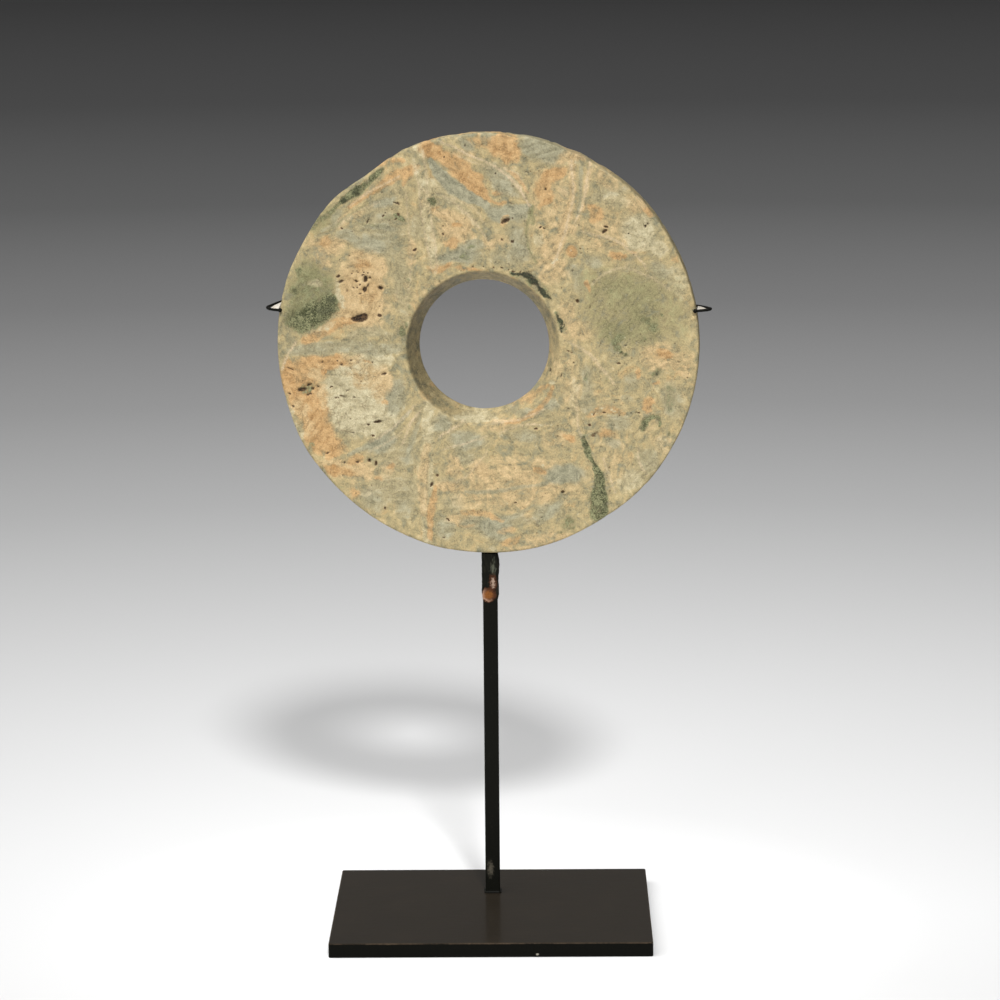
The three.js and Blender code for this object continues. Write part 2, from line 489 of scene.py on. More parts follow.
@dataclass(frozen=True)
class Vein:
    """A line of colour along a smooth path, with a width that may change along it."""
    tint: Tint
    path: tuple[tuple[float, float], ...]
    widths: tuple[float, ...]
    amount: float = 0.6
    softness: float = 0.5
    depth: float = 0.0

    def cover(self, x: np.ndarray, z: np.ndarray) -> np.ndarray:
        """Give the vein's share at each place.

        Args:
            x: places to the right of the axis, in mm.
            z: places above it, in mm.

        Returns:
            Shares from 0 to the vein's amount.
        """
        line = smooth_path(self.path, 1.0)
        widest = max(self.widths) * 2
        near = (x > line[:, 0].min() - widest) & (x < line[:, 0].max() + widest)
        near &= (z > line[:, 1].min() - widest) & (z < line[:, 1].max() + widest)
        share = np.zeros(len(x))
        if not near.any():
            return share
        here = np.stack([x[near], z[near]], axis=1)
        starts, runs = line[:-1], np.diff(line, axis=0)
        along = np.einsum("psk,sk->ps", here[:, None] - starts, runs) / np.einsum("sk,sk->s", runs, runs)
        along = np.clip(along, 0, 1)
        gaps = np.linalg.norm(here[:, None] - starts - along[..., None] * runs, axis=2)
        nearest = gaps.argmin(axis=1)
        rows = np.arange(len(here))
        travelled = (nearest + along[rows, nearest]) / len(runs)
        half = np.interp(travelled, np.linspace(0, 1, len(self.widths)), self.widths)
        away = gaps[rows, nearest] / half
        share[near] = self.amount * (1 - smoothstep(1 - self.softness, 1 + self.softness, away))
        return share


Mark = Patch | Vein


@dataclass(frozen=True)
class Grain:
    """A region whose fibres run one way."""
    x: float
    z: float
    reach: float
    angle: float


def patches(tint: Tint, *rows: tuple[float, ...], softness: float = 0.45) -> tuple[Patch, ...]:
    """Make patches of one tint.

    Args:
        tint: their colour.
        rows: x, z, half length, half width, tilt in degrees and amount of each.
        softness: how gradually they fade.

    Returns:
        The patches, in order.
    """
    return tuple(Patch(tint, *row, softness=softness) for row in rows)


def veins(tint: Tint, *rows: tuple[Any, ...]) -> tuple[Vein, ...]:
    """Make veins of one tint: path, widths, amount and, where it differs, softness of each."""
    return tuple(Vein(tint, *row) for row in rows)


def pits(*rows: tuple[float, ...], depth: float = 0.5, amount: float = 0.95) -> tuple[Patch, ...]:
    """Make open pits: x, z, half length, half width and tilt of each."""
    return tuple(Patch(Tint.PIT, *row, amount=amount, softness=0.4, depth=depth) for row in rows)


GROUND: tuple[Mark, ...] = (
    # upper left
    *patches(Tint.BLUE, (-47, 50, 13, 11, 0, 0.36), (-62, 47, 5, 3, 0, 0.6), (-42, 40, 5, 16, 10, 0.25),
             (-36, 22, 4, 16, 0, 0.3), (-52, 43, 7, 4, -20, 0.6), (-42, 66, 9, 6, 20, 0.28),
             (-30, 52, 3.5, 7, 0, 0.35)),
    *patches(Tint.PEACH, (-55, 22, 12, 17, 0, 0.9), (-70, 43, 8, 4, 0, 0.7), (-72, 36, 4, 4, 0, 0.6),
             (-55, 36, 7, 4, 0, 0.7), (-47, 33, 3.5, 3, 0, 0.6), (-61, 54, 8, 3, 25, 0.55),
             (-33, 40, 2.5, 6, 0, 0.6), (-13, 50, 8, 8, 0, 0.75), (-20, 57, 5, 3, -20, 0.6),
             (-58, 14, 14, 6, 0, 0.55), (-25, 22, 5, 10, -45, 0.35)),
    *patches(Tint.OCHRE, (-54, 34, 5, 3, 0, 0.4), (-50, 22, 7, 5, 0, 0.3), (-70, 44, 3, 2.5, 0, 0.5)),
    *patches(Tint.OLIVE, (-77, 22, 12, 13, 0, 0.7), (-78, 33, 5, 5, 40, 0.45), (-70, 55, 9, 4, 50, 0.5),
             (-82, 11, 8, 7, 0, 0.7)),
    # upper right
    *patches(Tint.BLUE, (25, 85, 12, 5, -12, 0.75), (1, 90.5, 4, 2, 0, 0.5), (11, 57, 10, 3.5, 4, 0.8),
             (14, 45, 5, 8, 0, 0.6), (10, 38, 9, 4, 0, 0.4), (54, 66, 9, 3, 20, 0.4),
             (76, 32, 5, 4, 0, 0.55), (47, 36, 4, 3, 0, 0.5), (38, 32, 4, 3, 0, 0.5),
             (34, 66, 3, 3, 0, 0.4), (41, 26, 4, 5, 0, 0.4), (65, 45, 2.5, 3.5, 0, 0.5)),
    *patches(Tint.PEACH, (28, 62, 9, 18, 0, 0.42), (28, 33, 8, 7, 0, 0.6), (28, 43, 6, 5, 0, 0.45),
             (53, 48, 14, 9, 0, 0.42), (3, 44, 6, 4, 0, 0.5), (52, 72, 7, 4, -40, 0.5),
             (66, 61, 5, 5, -45, 0.6), (40, 6, 7, 5, 0, 0.55), (74, 12, 6, 8, 0, 0.35),
             (35, 14, 4, 6, 0, 0.5)),
    *patches(Tint.CREAM, (67, 49, 8, 7, -40, 0.75), (74, 42, 5, 4, -50, 0.6), (57, 62, 6, 4, 0, 0.4),
             (83, 27, 4, 8, 15, 0.4), (40, 81, 4, 2.5, -20, 0.6), (23, 45, 2.5, 3.5, 0, 0.5)),
    *patches(Tint.OLIVE, (60, 14, 20, 18, 0, 0.44), (70, 22, 17, 12, 0, 0.3), (48, 28, 9, 7, 0, 0.3),
             (55, 5, 6, 5, 0, 0.35), (68, 6, 10, 8, 0, 0.3), (84, 8, 5, 9, 0, 0.3)),
    # lower left
    *patches(Tint.CREAM, (-59, -23, 15, 17, 0, 0.95), (-60, -34, 8, 6, 0, 0.7), (-50, -8, 9, 3.5, 0, 0.6),
             (-46, -34, 7, 9, 0, 0.55)),
    *patches(Tint.PEACH, (-52, -15, 10, 6, 0, 0.5), (-63, -8, 8, 3, 0, 0.6), (-46, -20, 5, 8, 0, 0.6),
             (-62, -56, 12, 4.5, -5, 0.75), (-44, -55, 4, 3, 0, 0.65), (-50, -60, 5, 2, 0, 0.5),
             (-56, -66, 6, 3, -30, 0.5)),
    *patches(Tint.OCHRE, (-82, -14, 9, 8, 0, 0.75), (-79, -27, 9, 8, -10, 0.9), (-75, -40, 7, 9, 30, 0.9),
             (-88, -16, 2.5, 9, 8, 0.8), (-71, -8, 9, 3, 0, 0.75), (-68, -47, 5, 4, 0, 0.7), softness=0.4),
    *patches(Tint.PEACH, (-75, -13, 5, 3.4, 0, 0.8), (-83, -29, 4, 5, 0, 0.7), (-72, -24, 4, 5, 0, 0.6),
             (-79, -38, 4, 5, 30, 0.4)),
    *patches(Tint.BLUE, (-40, -24, 4.5, 8, -12, 0.65), (-47, -45, 7, 3, 22, 0.8),
             (-42, -50, 10, 7, 20, 0.3), (-42, -66, 15, 7, 0, 0.38), (-52, -71, 7, 4, -35, 0.4),
             (-34, -50, 4, 12, 0, 0.25), (-10, -51, 6, 3, 0, 0.5), (-15, -62, 6, 3, 0, 0.4),
             (-20, -82, 5, 6, 0, 0.6), (-20, -36, 5, 4, 0, 0.75), (-9, -43, 9, 4.5, 0, 0.7),
             (-16, -71, 6, 4, 0, 0.4), (-37, -74, 4, 5, 0, 0.4)),
    *patches(Tint.PEACH, (-15, -54, 3, 5, 0, 0.6), (-3, -56, 4, 5, 60, 0.6), (-12, -78, 8, 3, 0, 0.6),
             (-18, -64, 6, 2.5, 0, 0.6)),
    # lower right
    *patches(Tint.PEACH, (12, -63, 30, 13, 5, 0.55), (45, -30, 16, 13, 0, 0.25), (57, -50, 7, 14, 10, 0.35),
             (76, -6, 8, 6, 0, 0.6), (86, -10, 5, 6, 0, 0.45), (36, -14, 6, 12, 0, 0.3),
             (70, -32, 4, 8, 0, 0.3), (30, -42, 8, 5, 0, 0.4), (20, -88, 16, 4, 12, 0.5),
             (76, -44, 5, 5, 0, 0.45), (5, -36, 9, 2.5, 0, 0.5)),
    *patches(Tint.BLUE, (33, -58, 9, 4, 5, 0.9), (20, -31, 7, 2, 25, 0.65), (28, -27, 4, 3, 0, 0.6),
             (17, -41, 7, 3, 0, 0.5), (9, -79, 12, 3, 10, 0.4), (26, -75, 6, 4, 20, 0.5),
             (57, -35, 5, 4, 0, 0.5), (55, -44, 4, 3, 0, 0.5), (44, -25, 3, 7, 0, 0.4),
             (64, -15, 5, 3, 0, 0.45), (81, -25, 5, 8, 10, 0.45), (71, -52, 6, 5, -40, 0.5),
             (62, -25, 3, 2, 0, 0.4), (3, -83, 7, 5, 0, 0.75), (-6, -80, 6, 4, 0, 0.5),
             (43, -14, 3, 5, 0, 0.5)),
    *patches(Tint.CREAM, (63, -60, 5, 6, -45, 0.6), (76, -44, 3, 4, 0, 0.4), (38, -24, 2, 10, 0, 0.35)),
)

BANDS: tuple[Mark, ...] = (
    *veins(Tint.BLUE,
        (((-88, -3.5), (-75, -2.5), (-60, -1.5), (-48, -3), (-39, -2)), (1.8, 3.2, 2.6, 3.4, 2), 0.55),
        (((-60, 3), (-50, 5), (-42, 3)), (2, 3, 2), 0.35)),
    *veins(Tint.OCHRE,
        (((-80, 1), (-72, 5), (-65, 9), (-58, 10)), (2, 2.6, 2.4, 1.4), 0.7),
        (((-60, 60), (-48, 67.5), (-38, 74), (-30, 77)), (0.9, 1.2, 2.6, 1.6), 0.7),
        (((-47, 78), (-41, 80), (-36, 80)), (1, 1.5, 1), 0.6),
        (((-36, 70), (-34, 73), (-32, 74)), (1.2, 1.8, 1.2), 0.6)),
    Vein(Tint.BLUE, ((-59, 55), (-66, 52), (-72, 49)), (1.2, 1.6, 1), 0.4),
    # the ochre lens, the blue crescent under it and the pink line over it
    *patches(Tint.OCHRE, (-23, 84, 6, 4, -15, 0.9), (-13, 78, 9, 4.5, -35, 0.75),
             (-6, 71, 6, 4.5, -40, 0.85), (-3, 65, 5, 2.6, -20, 0.8), (6, 66, 3.5, 1.4, 0, 0.7),
             (6, 62, 6, 1.1, 0, 0.7), (-3, 88, 7, 3, 0, 0.5), softness=0.35),
    *patches(Tint.PEACH, (-8, 83, 6, 1.8, -15, 0.5), (9, 78, 3, 2, -30, 0.6)),
    *patches(Tint.BLUE, (6, 73, 8, 4.5, -30, 0.6), (9, 67, 6, 3, -20, 0.5), (-9, 87, 5, 1.8, -35, 0.6)),
    *veins(Tint.BLUE,
        (((-24, 79.5), (-20, 74), (-15, 69), (-8, 64.5), (-1, 61)), (1.4, 2.6, 3.4, 2.8, 1.6), 0.95, 0.3),
        (((-1, 61), (3, 57), (10, 58), (19, 60)), (1.6, 3.2, 2.6, 1.2), 0.75)),
    Vein(Tint.CREAM, ((-24, 70), (-16, 63.5), (-9, 58), (-4, 52)), (3.4, 2.6, 2, 1.4), 0.35),
    *patches(Tint.OCHRE, (8, 85.5, 7, 4.8, -5, 0.85), (11, 81, 3, 3, 0, 0.5), (10, 90, 5, 1.6, 0, 0.6),
             (30, 74, 6.5, 3.8, 10, 0.75), (24, 67, 4, 5, 0, 0.6), (26, 62, 4, 1.6, 40, 0.7),
             (48, 57, 4, 3.6, -30, 0.6), (44, 60, 3, 1.6, 0, 0.5), (38, 41, 3, 3.5, 30, 0.85),
             (58, 38.5, 3.4, 2, 0, 0.75), (70, 58, 3, 2, -60, 0.6), (45, 26, 1, 2.6, 0, 0.65),
             (64, 41, 3, 1, -40, 0.6), (82, 38, 1, 3, 20, 0.4), (9, 54, 3, 2, 40, 0.45), softness=0.35),
    *patches(Tint.OCHRE, (-20, 33.5, 5, 2, 10, 0.8), (-8, 33, 6, 1.1, 0, 0.7), (-15, 44.5, 4, 2.4, 0, 0.6),
             (-13, 52, 3, 1.6, 0, 0.8), (-24, 45, 1.2, 4, 0, 0.4), (-22, 59, 2, 1, 0, 0.4)),
    *patches(Tint.BLUE, (-13, 38, 10, 3, 0, 0.8), (-5, 43, 4, 2.6, 0, 0.6), (-9, 40, 4, 3, 0, 0.5),
             (-44, 62, 4.5, 2, 5, 0.7), (-45, 51, 8, 1.2, -5, 0.5)),
    Vein(Tint.CREAM, ((-30, 84), (-27.5, 70), (-26, 58), (-24, 44), (-23, 32)), (3.6, 3, 2.6, 2.2, 1.8),
         0.42),
    *veins(Tint.PEACH,
        (((37.5, 80), (38, 68), (35.5, 56), (31, 42)), (1.8, 1.6, 2.2, 2.4), 0.6),
        (((45, 78), (44, 68), (41.5, 58), (38, 50)), (1.2, 1.3, 1.1, 1.8), 0.5)),
    Vein(Tint.BLUE, ((41.5, 77), (41.3, 66), (39.5, 56)), (0.9, 1, 0.7), 0.55),
    Vein(Tint.PEACH, ((32, 80), (37, 83), (42, 81)), (2, 2.4, 1.8), 0.6),
    # the foot of the vertical vein and the rays of the fan
    Vein(Tint.CREAM, ((-26, -26), (-27, -40), (-27, -58), (-28, -74), (-27, -88)), (2, 3.2, 3, 2.6, 2),
         0.5),
    Vein(Tint.PEACH, ((-27, -46), (-29, -60), (-28.5, -76)), (2, 2.4, 1.8), 0.5),
    Vein(Tint.OCHRE, ((-23.5, -64), (-24.5, -70), (-26, -78), (-26, -87)), (1.2, 1.8, 1.6, 1.4), 0.6),
    *veins(Tint.BLUE,
        (((-34, -30), (-42, -38), (-52, -45), (-62, -50)), (0.8, 1.2, 1.6, 0.8), 0.6),
        (((-30, -33), (-33, -42), (-36, -52)), (0.8, 1.2, 1), 0.5)),
    Vein(Tint.CREAM, ((-14, -33), (-4, -34), (6, -33.5)), (1, 1.5, 0.8), 0.8),
    *veins(Tint.BLUE,
        (((-10, -66), (2, -66), (14, -64), (26, -62)), (0.8, 1, 0.9, 0.8), 0.45),
        (((-2, -80), (10, -77), (20, -72)), (0.8, 1.1, 0.8), 0.4),
        (((22, -80), (27, -76), (32, -70)), (1.4, 2, 1.2), 0.5)),
    *veins(Tint.OCHRE,
        (((8, -35), (17, -33), (26, -25), (29, -19)), (0.9, 1.3, 1.4, 0.8), 0.7),
        (((-12, -75), (-2, -76), (6, -79)), (1, 1.4, 1), 0.5),
        (((44, -32), (49, -29.5), (54, -29), (60, -31)), (1, 2.2, 2, 1), 0.55)),
    *patches(Tint.OCHRE, (36, -42, 2.6, 1.6, 0, 0.8), (53, -40, 4, 2, 0, 0.6), (70, -27, 2, 4, 0, 0.7),
             (77, -5, 4, 2, 0, 0.75), (67, -13, 1.6, 3, 0, 0.7), (74, -17.5, 1.6, 1.4, 0, 0.8),
             (22, -57, 2.4, 1.4, 0, 0.6), (10, -88, 6, 1.6, 5, 0.5), (8, -83, 5, 1.6, 0, 0.45),
             (46, -46, 1.4, 3, 0, 0.3), (-64, -57, 6, 2.4, -5, 0.55), (-58, -52, 4, 2, 0, 0.55),
             (-43, -55, 2.4, 1.6, 0, 0.6), (-69, -57, 3.5, 2, -20, 0.7), (-60, -67, 3, 2.4, -30, 0.6),
             (-49, -60.5, 2.5, 1, 0, 0.5), (-10, -81, 4, 1.2, 0, 0.5), (-27, -24, 4, 1.6, -30, 0.4)),
    *patches(Tint.OCHRE, (-66, -6.5, 1.6, 1.2, 0, 0.9), (-72.5, -12, 1.2, 1.8, 0, 0.9),
             (-88, -22, 2.4, 3, 0, 0.6), (-70, -49, 2, 3, 20, 0.7), (-45, -27, 2, 1.4, 0, 0.6),
             (-53, -8.6, 2, 0.6, 0, 0.5), (-20, -23, 2, 1.2, -40, 0.6)),
    *patches(Tint.CREAM, (-67, -26, 4, 6, 0, 0.5), (-88, -32, 2, 5, 15, 0.5), (-84, -39, 1.4, 4, 25, 0.5)),
)

LINES: tuple[Mark, ...] = (
    *veins(Tint.THREAD,
        (((-20, 88.5), (-10, 83.8), (-2, 80), (7, 75.5), (13.5, 69.5), (19, 60)),
         (0.4, 0.5, 0.5, 0.6, 0.75, 0.4), 0.95, 0.4),
        (((-14, 83), (-6, 79.5), (2, 76)), (0.3, 0.4, 0.3), 0.5),
        (((8, 77), (14, 73), (18, 66)), (0.5, 0.9, 0.5), 0.5),
        (((-31, 79), (-29, 68), (-28, 56), (-26, 44), (-24, 33)), (0.3, 0.4, 0.3), 0.6),
        (((-27, 84), (-25.5, 70), (-24, 58), (-22.5, 44), (-21.5, 33)), (0.4, 0.3, 0.4), 0.6),
        (((-35, 66), (-34, 52), (-33, 36), (-35, 20)), (0.3, 0.4, 0.3), 0.5),
        (((37.5, 80), (38, 68), (36.5, 58), (32, 42), (29, 34)), (0.6, 0.5, 0.5, 0.5), 0.8),
        (((45, 80), (44, 68), (41, 58), (38, 52)), (0.5, 0.6, 0.5, 0.4), 0.7),
        (((42, 49), (50, 47), (57, 45), (66, 38), (70, 32)), (0.4, 0.6, 0.5, 0.3), 0.7),
        (((-60, 60), (-54, 64.5), (-47, 68.5), (-38, 73)), (0.3, 0.5, 0.4), 0.7),
        (((-66, 53), (-56, 58), (-46, 62)), (0.3, 0.4, 0.3), 0.5),
        (((-21, 66), (-12, 60), (-5, 53), (1, 45)), (0.4, 0.5, 0.3), 0.6),
        (((-17, 64), (-8, 61), (0, 52)), (0.3, 0.4, 0.3), 0.4),
        (((46, 26), (52, 31), (60, 33), (70, 30), (80, 24)), (0.4, 0.5, 0.4), 0.5),
        (((60, 33), (64, 38), (70, 44)), (0.3, 0.4, 0.3), 0.4),
        (((-84, 0.5), (-88, -5), (-90.8, -12)), (0.4, 0.5, 0.4), 0.9),
        (((-29, -29), (-34, -36), (-38, -45)), (0.4, 0.6, 0.4), 0.7),
        (((-32, -27), (-37, -33), (-44, -39), (-52, -44)), (0.4, 0.5, 0.4), 0.6),
        (((-30, -30), (-40, -41), (-54, -49)), (0.3, 0.4, 0.3), 0.5),
        (((-22, -42), (-16, -38.5), (-10, -34)), (0.5, 0.6, 0.4), 0.85),
        (((-20, -47), (-10, -44.5), (0, -41)), (0.3, 0.4, 0.3), 0.6),
        (((2, -35.5), (8, -34.5), (16, -33), (25, -29)), (0.3, 0.5, 0.4), 0.7),
        (((4, -40), (10, -37.5), (18, -36), (26, -35.5)), (0.3, 0.5, 0.3), 0.6),
        (((-14, -62), (-7, -56), (0, -48)), (0.3, 0.4, 0.3), 0.5),
        (((51, -51), (53, -57), (56, -66)), (0.4, 0.5, 0.4), 0.7),
        (((40, -18), (39.5, -28), (40, -38), (44, -45)), (0.4, 0.5, 0.4), 0.5),
        (((66, -46), (66.5, -52), (70, -58)), (0.3, 0.4, 0.3), 0.6),
        (((36, 1), (44, -4), (50, -11), (56, -18)), (0.5, 0.8, 0.5), 0.6)),
    Vein(Tint.OCHRE, ((10, 75.5), (15, 71), (18, 66)), (0.6, 0.9, 0.6), 0.45),
    *veins(Tint.OLIVE,
        (((19.5, 59), (18, 50), (18.5, 41), (21.5, 35.5)), (1, 0.7, 0.6, 0.5), 0.6),
        (((20.5, 60), (20.5, 53)), (0.9, 0.9), 0.6),
        (((-61, 53.5), (-52, 52), (-42, 51)), (0.6, 0.9, 0.7), 0.4),
        (((-70, 48), (-62, 55), (-54, 60), (-46, 68)), (0.5, 0.6, 0.6, 0.4), 0.45),
        (((34, 10), (36, 2), (34, -6)), (0.5, 0.5, 0.4), 0.3)),
)

MOSS: tuple[Mark, ...] = (
    *veins(Tint.MOSS,
        (((-76.5, 51), (-72.5, 54.6), (-69, 56.4), (-66.4, 59.6), (-63, 62.4)), (1.4, 1.6, 1.4, 1.1, 1),
         0.6),
        (((-62.8, 63), (-58.5, 65.5), (-55, 67.2), (-51.5, 70), (-48.5, 73.5), (-45, 76.3)),
         (1.4, 1.9, 1.9, 1.1, 1.6, 1), 0.72, 0.4)),
    *patches(Tint.BLUE, (-54.5, 70.5, 3, 1.4, 35, 0.6), (-66, 56.5, 4, 1.8, 40, 0.5)),
    *patches(Tint.MOSS, (-57.5, 66.5, 3.4, 1.8, 25, 0.6), (-49, 73, 2.4, 1.3, 60, 0.5),
             (-65.5, 57.5, 1.4, 0.9, 20, 0.5)),
    *patches(Tint.DARK, (-61.8, 63.4, 1.9, 1.2, 20, 0.6), (-56.5, 66.6, 3, 1.1, 20, 0.5),
             (-57.2, 68.4, 1.1, 0.8, 0, 0.5), (-50, 71.2, 1, 0.8, 30, 0.4)),
    *patches(Tint.MOSS, (-77, 17, 13, 13, 10, 0.36), (-83, 9, 7, 6, 0, 0.55), (-73, 14.5, 8, 4.6, 15, 0.6),
             (-68.5, 19, 4.6, 4, 30, 0.55), (-77, 12, 9, 4.4, 15, 0.4), (-76, 27, 8, 6, 0, 0.2),
             (-84.5, 23.2, 2.4, 1.8, 0, 0.5), (-83.4, 31, 1.8, 1.4, 40, 0.5), (-84, 6, 4, 3, 0, 0.3),
             softness=0.4),
    *patches(Tint.DARK, (-71, 14, 4.6, 2.4, 12, 0.4), (-68.5, 19, 3.2, 2.4, 20, 0.42),
             (-84.5, 23.2, 1.7, 1.2, 0, 0.5), (-83, 7.6, 3.4, 1.6, 0, 0.22), (-78, 13, 3, 1.6, 20, 0.2)),
    *patches(Tint.CREAM, (-64.2, 21, 1.3, 6.5, 18, 0.6), (-73, 6, 6, 1.6, 25, 0.4),
             (-75, 27, 2.6, 2, 0, 0.35)),
    *patches(Tint.MOSS, (-22.5, 62, 2.4, 1.7, 0, 0.8), (-9, 38, 2.4, 1.6, 0, 0.5),
             (-6.5, 41.5, 1.4, 1.4, 0, 0.45), (-37.5, 56, 2.2, 1.6, -40, 0.75), (-42, 55, 4, 2, 0, 0.35),
             (-37.5, 6, 2, 3.2, 0, 0.75), (-33.5, 15.5, 1.2, 1.8, 0, 0.5), (-35, 27, 1, 2.4, 20, 0.4),
             (-38.5, 43, 0.8, 1.6, 0, 0.45), (-77.5, -45, 1.6, 3, 10, 0.5), (-82, -43, 1.6, 1, 0, 0.4),
             (-67, -64, 4, 1, -35, 0.3)),
    Patch(Tint.CREAM, -16.5, 62.5, 1, 1.2, 0, 0.9),
    # the green streaks by the hole
    Vein(Tint.MOSS, ((10.5, 31), (15, 29.5), (19, 28), (23, 25), (28, 19.5)), (0.9, 2, 3, 2.2, 1), 0.5),
    Vein(Tint.DARK,
         ((11, 30.8), (15, 30.4), (18.8, 29.4), (21.4, 26.6), (24, 23.4), (26, 21.2), (28, 19.8)),
         (0.4, 0.8, 2, 1.9, 1.2, 1, 0.5), 0.82, 0.6),
    Vein(Tint.MOSS, ((30.4, 13.5), (32, 10), (33.6, 6.4)), (1, 1.7, 1.2), 0.55),
    *veins(Tint.DARK,
        (((30.6, 13), (31.6, 10.8), (32.6, 9.4), (32.4, 7.4), (32.8, 5)), (0.5, 1, 1, 0.6, 0.3), 0.7, 0.6),
        (((33.4, 9.8), (34, 8.4), (33.6, 7)), (0.3, 0.4, 0.3), 0.7)),
    # upper and lower right
    *patches(Tint.MOSS, (70, 10, 3, 2, 0, 0.5), (71.5, 7, 2.4, 2, 0, 0.45), (74, 8.5, 1.6, 2, 0, 0.45),
             (76.5, 13, 1.2, 1, -30, 0.7), (54.5, 23, 2.4, 1.2, 20, 0.4), (57.5, 2, 3.5, 3, 0, 0.5),
             (62, 5, 1, 2.4, 0, 0.35), (69, 2, 1.4, 2, 0, 0.5), (57, -2, 1.6, 3, 20, 0.6),
             (60.3, -6.2, 1.6, 1.2, 20, 0.75), (58.5, -5, 1, 1.2, 0, 0.7), (74, -12, 2.2, 2.2, 0, 0.6),
             (68, -9.5, 2, 1.2, 0, 0.3), (80, -25, 2, 5, 10, 0.45), (82, -20, 3, 1.6, 0, 0.35),
             (43, -15, 1.6, 2.8, -20, 0.45), (52, -16, 1, 2.6, -30, 0.45), (56, -8.5, 2, 1, -20, 0.3),
             (26.5, 87, 1.8, 0.8, 0, 0.4), (18, 83, 1.4, 2, 0, 0.3)),
    *patches(Tint.DARK, (74.3, -12, 1, 1.2, 0, 0.6), (72.5, -15.2, 1, 0.5, 0, 0.6),
             (75.5, -15.8, 0.5, 0.5, 0, 0.5)),
    Patch(Tint.MOSS, -79.5, -19.8, 4.4, 1.7, 10, 0.6),
    Vein(Tint.MOSS, ((67.2, -37), (69, -34), (72, -32.2), (75, -33), (75.6, -36)),
         (1.3, 1.8, 1.3, 1.2, 0.7), 0.66),
    *patches(Tint.MOSS, (68, -36, 1.4, 1.8, 0, 0.6), (73, -38.5, 3, 1, 0, 0.25),
             (79, -40, 0.9, 1.8, 0, 0.6)),
    # the long green streak
    *veins(Tint.MOSS,
        (((43.6, -37), (42.4, -41.5)), (0.9, 0.6), 0.45),
        (((41.8, -41.8), (43, -45), (44.4, -49.4), (46.6, -54), (48.8, -58.5), (48.8, -64), (48.8, -75)),
         (1.1, 1.9, 0.8, 2.3, 3, 3.6, 4.4), 0.76, 0.3),
        (((43, -44), (45.5, -51), (49.4, -58), (50.8, -66), (51.6, -75)), (1, 0.7, 1.4, 1.4, 1.6), 0.5)),
    *patches(Tint.MOSS, (45.2, -67.4, 2.4, 3, 0, 0.5), (34.5, -80.5, 3.2, 4, 30, 0.45),
             (31.5, -84.5, 1.6, 1, 0, 0.5), (35, -78, 3, 1.4, -30, 0.3), (14.3, -47.5, 2, 1, 0, 0.4),
             (1.5, -46.5, 2.4, 1, 0, 0.3), (-8, -41.5, 1.6, 0.8, 0, 0.35), (56, -41.5, 1, 1, 0, 0.3)),
    *patches(Tint.DARK, (43.2, -45.2, 1.9, 1.1, -60, 0.45), (50.4, -62, 1, 5, 8, 0.25),
             (44.8, -67.6, 1.6, 1.6, 0, 0.3), (51.6, -73, 1, 2.4, 0, 0.35)),
    *patches(Tint.PIT, (47.5, -39.3, 2.6, 1, 5, 0.55), (1, -91, 1.6, 1, 0, 0.2)),
    Patch(Tint.CREAM, 1.6, -91.5, 2, 1.4, 0, 0.6),
)

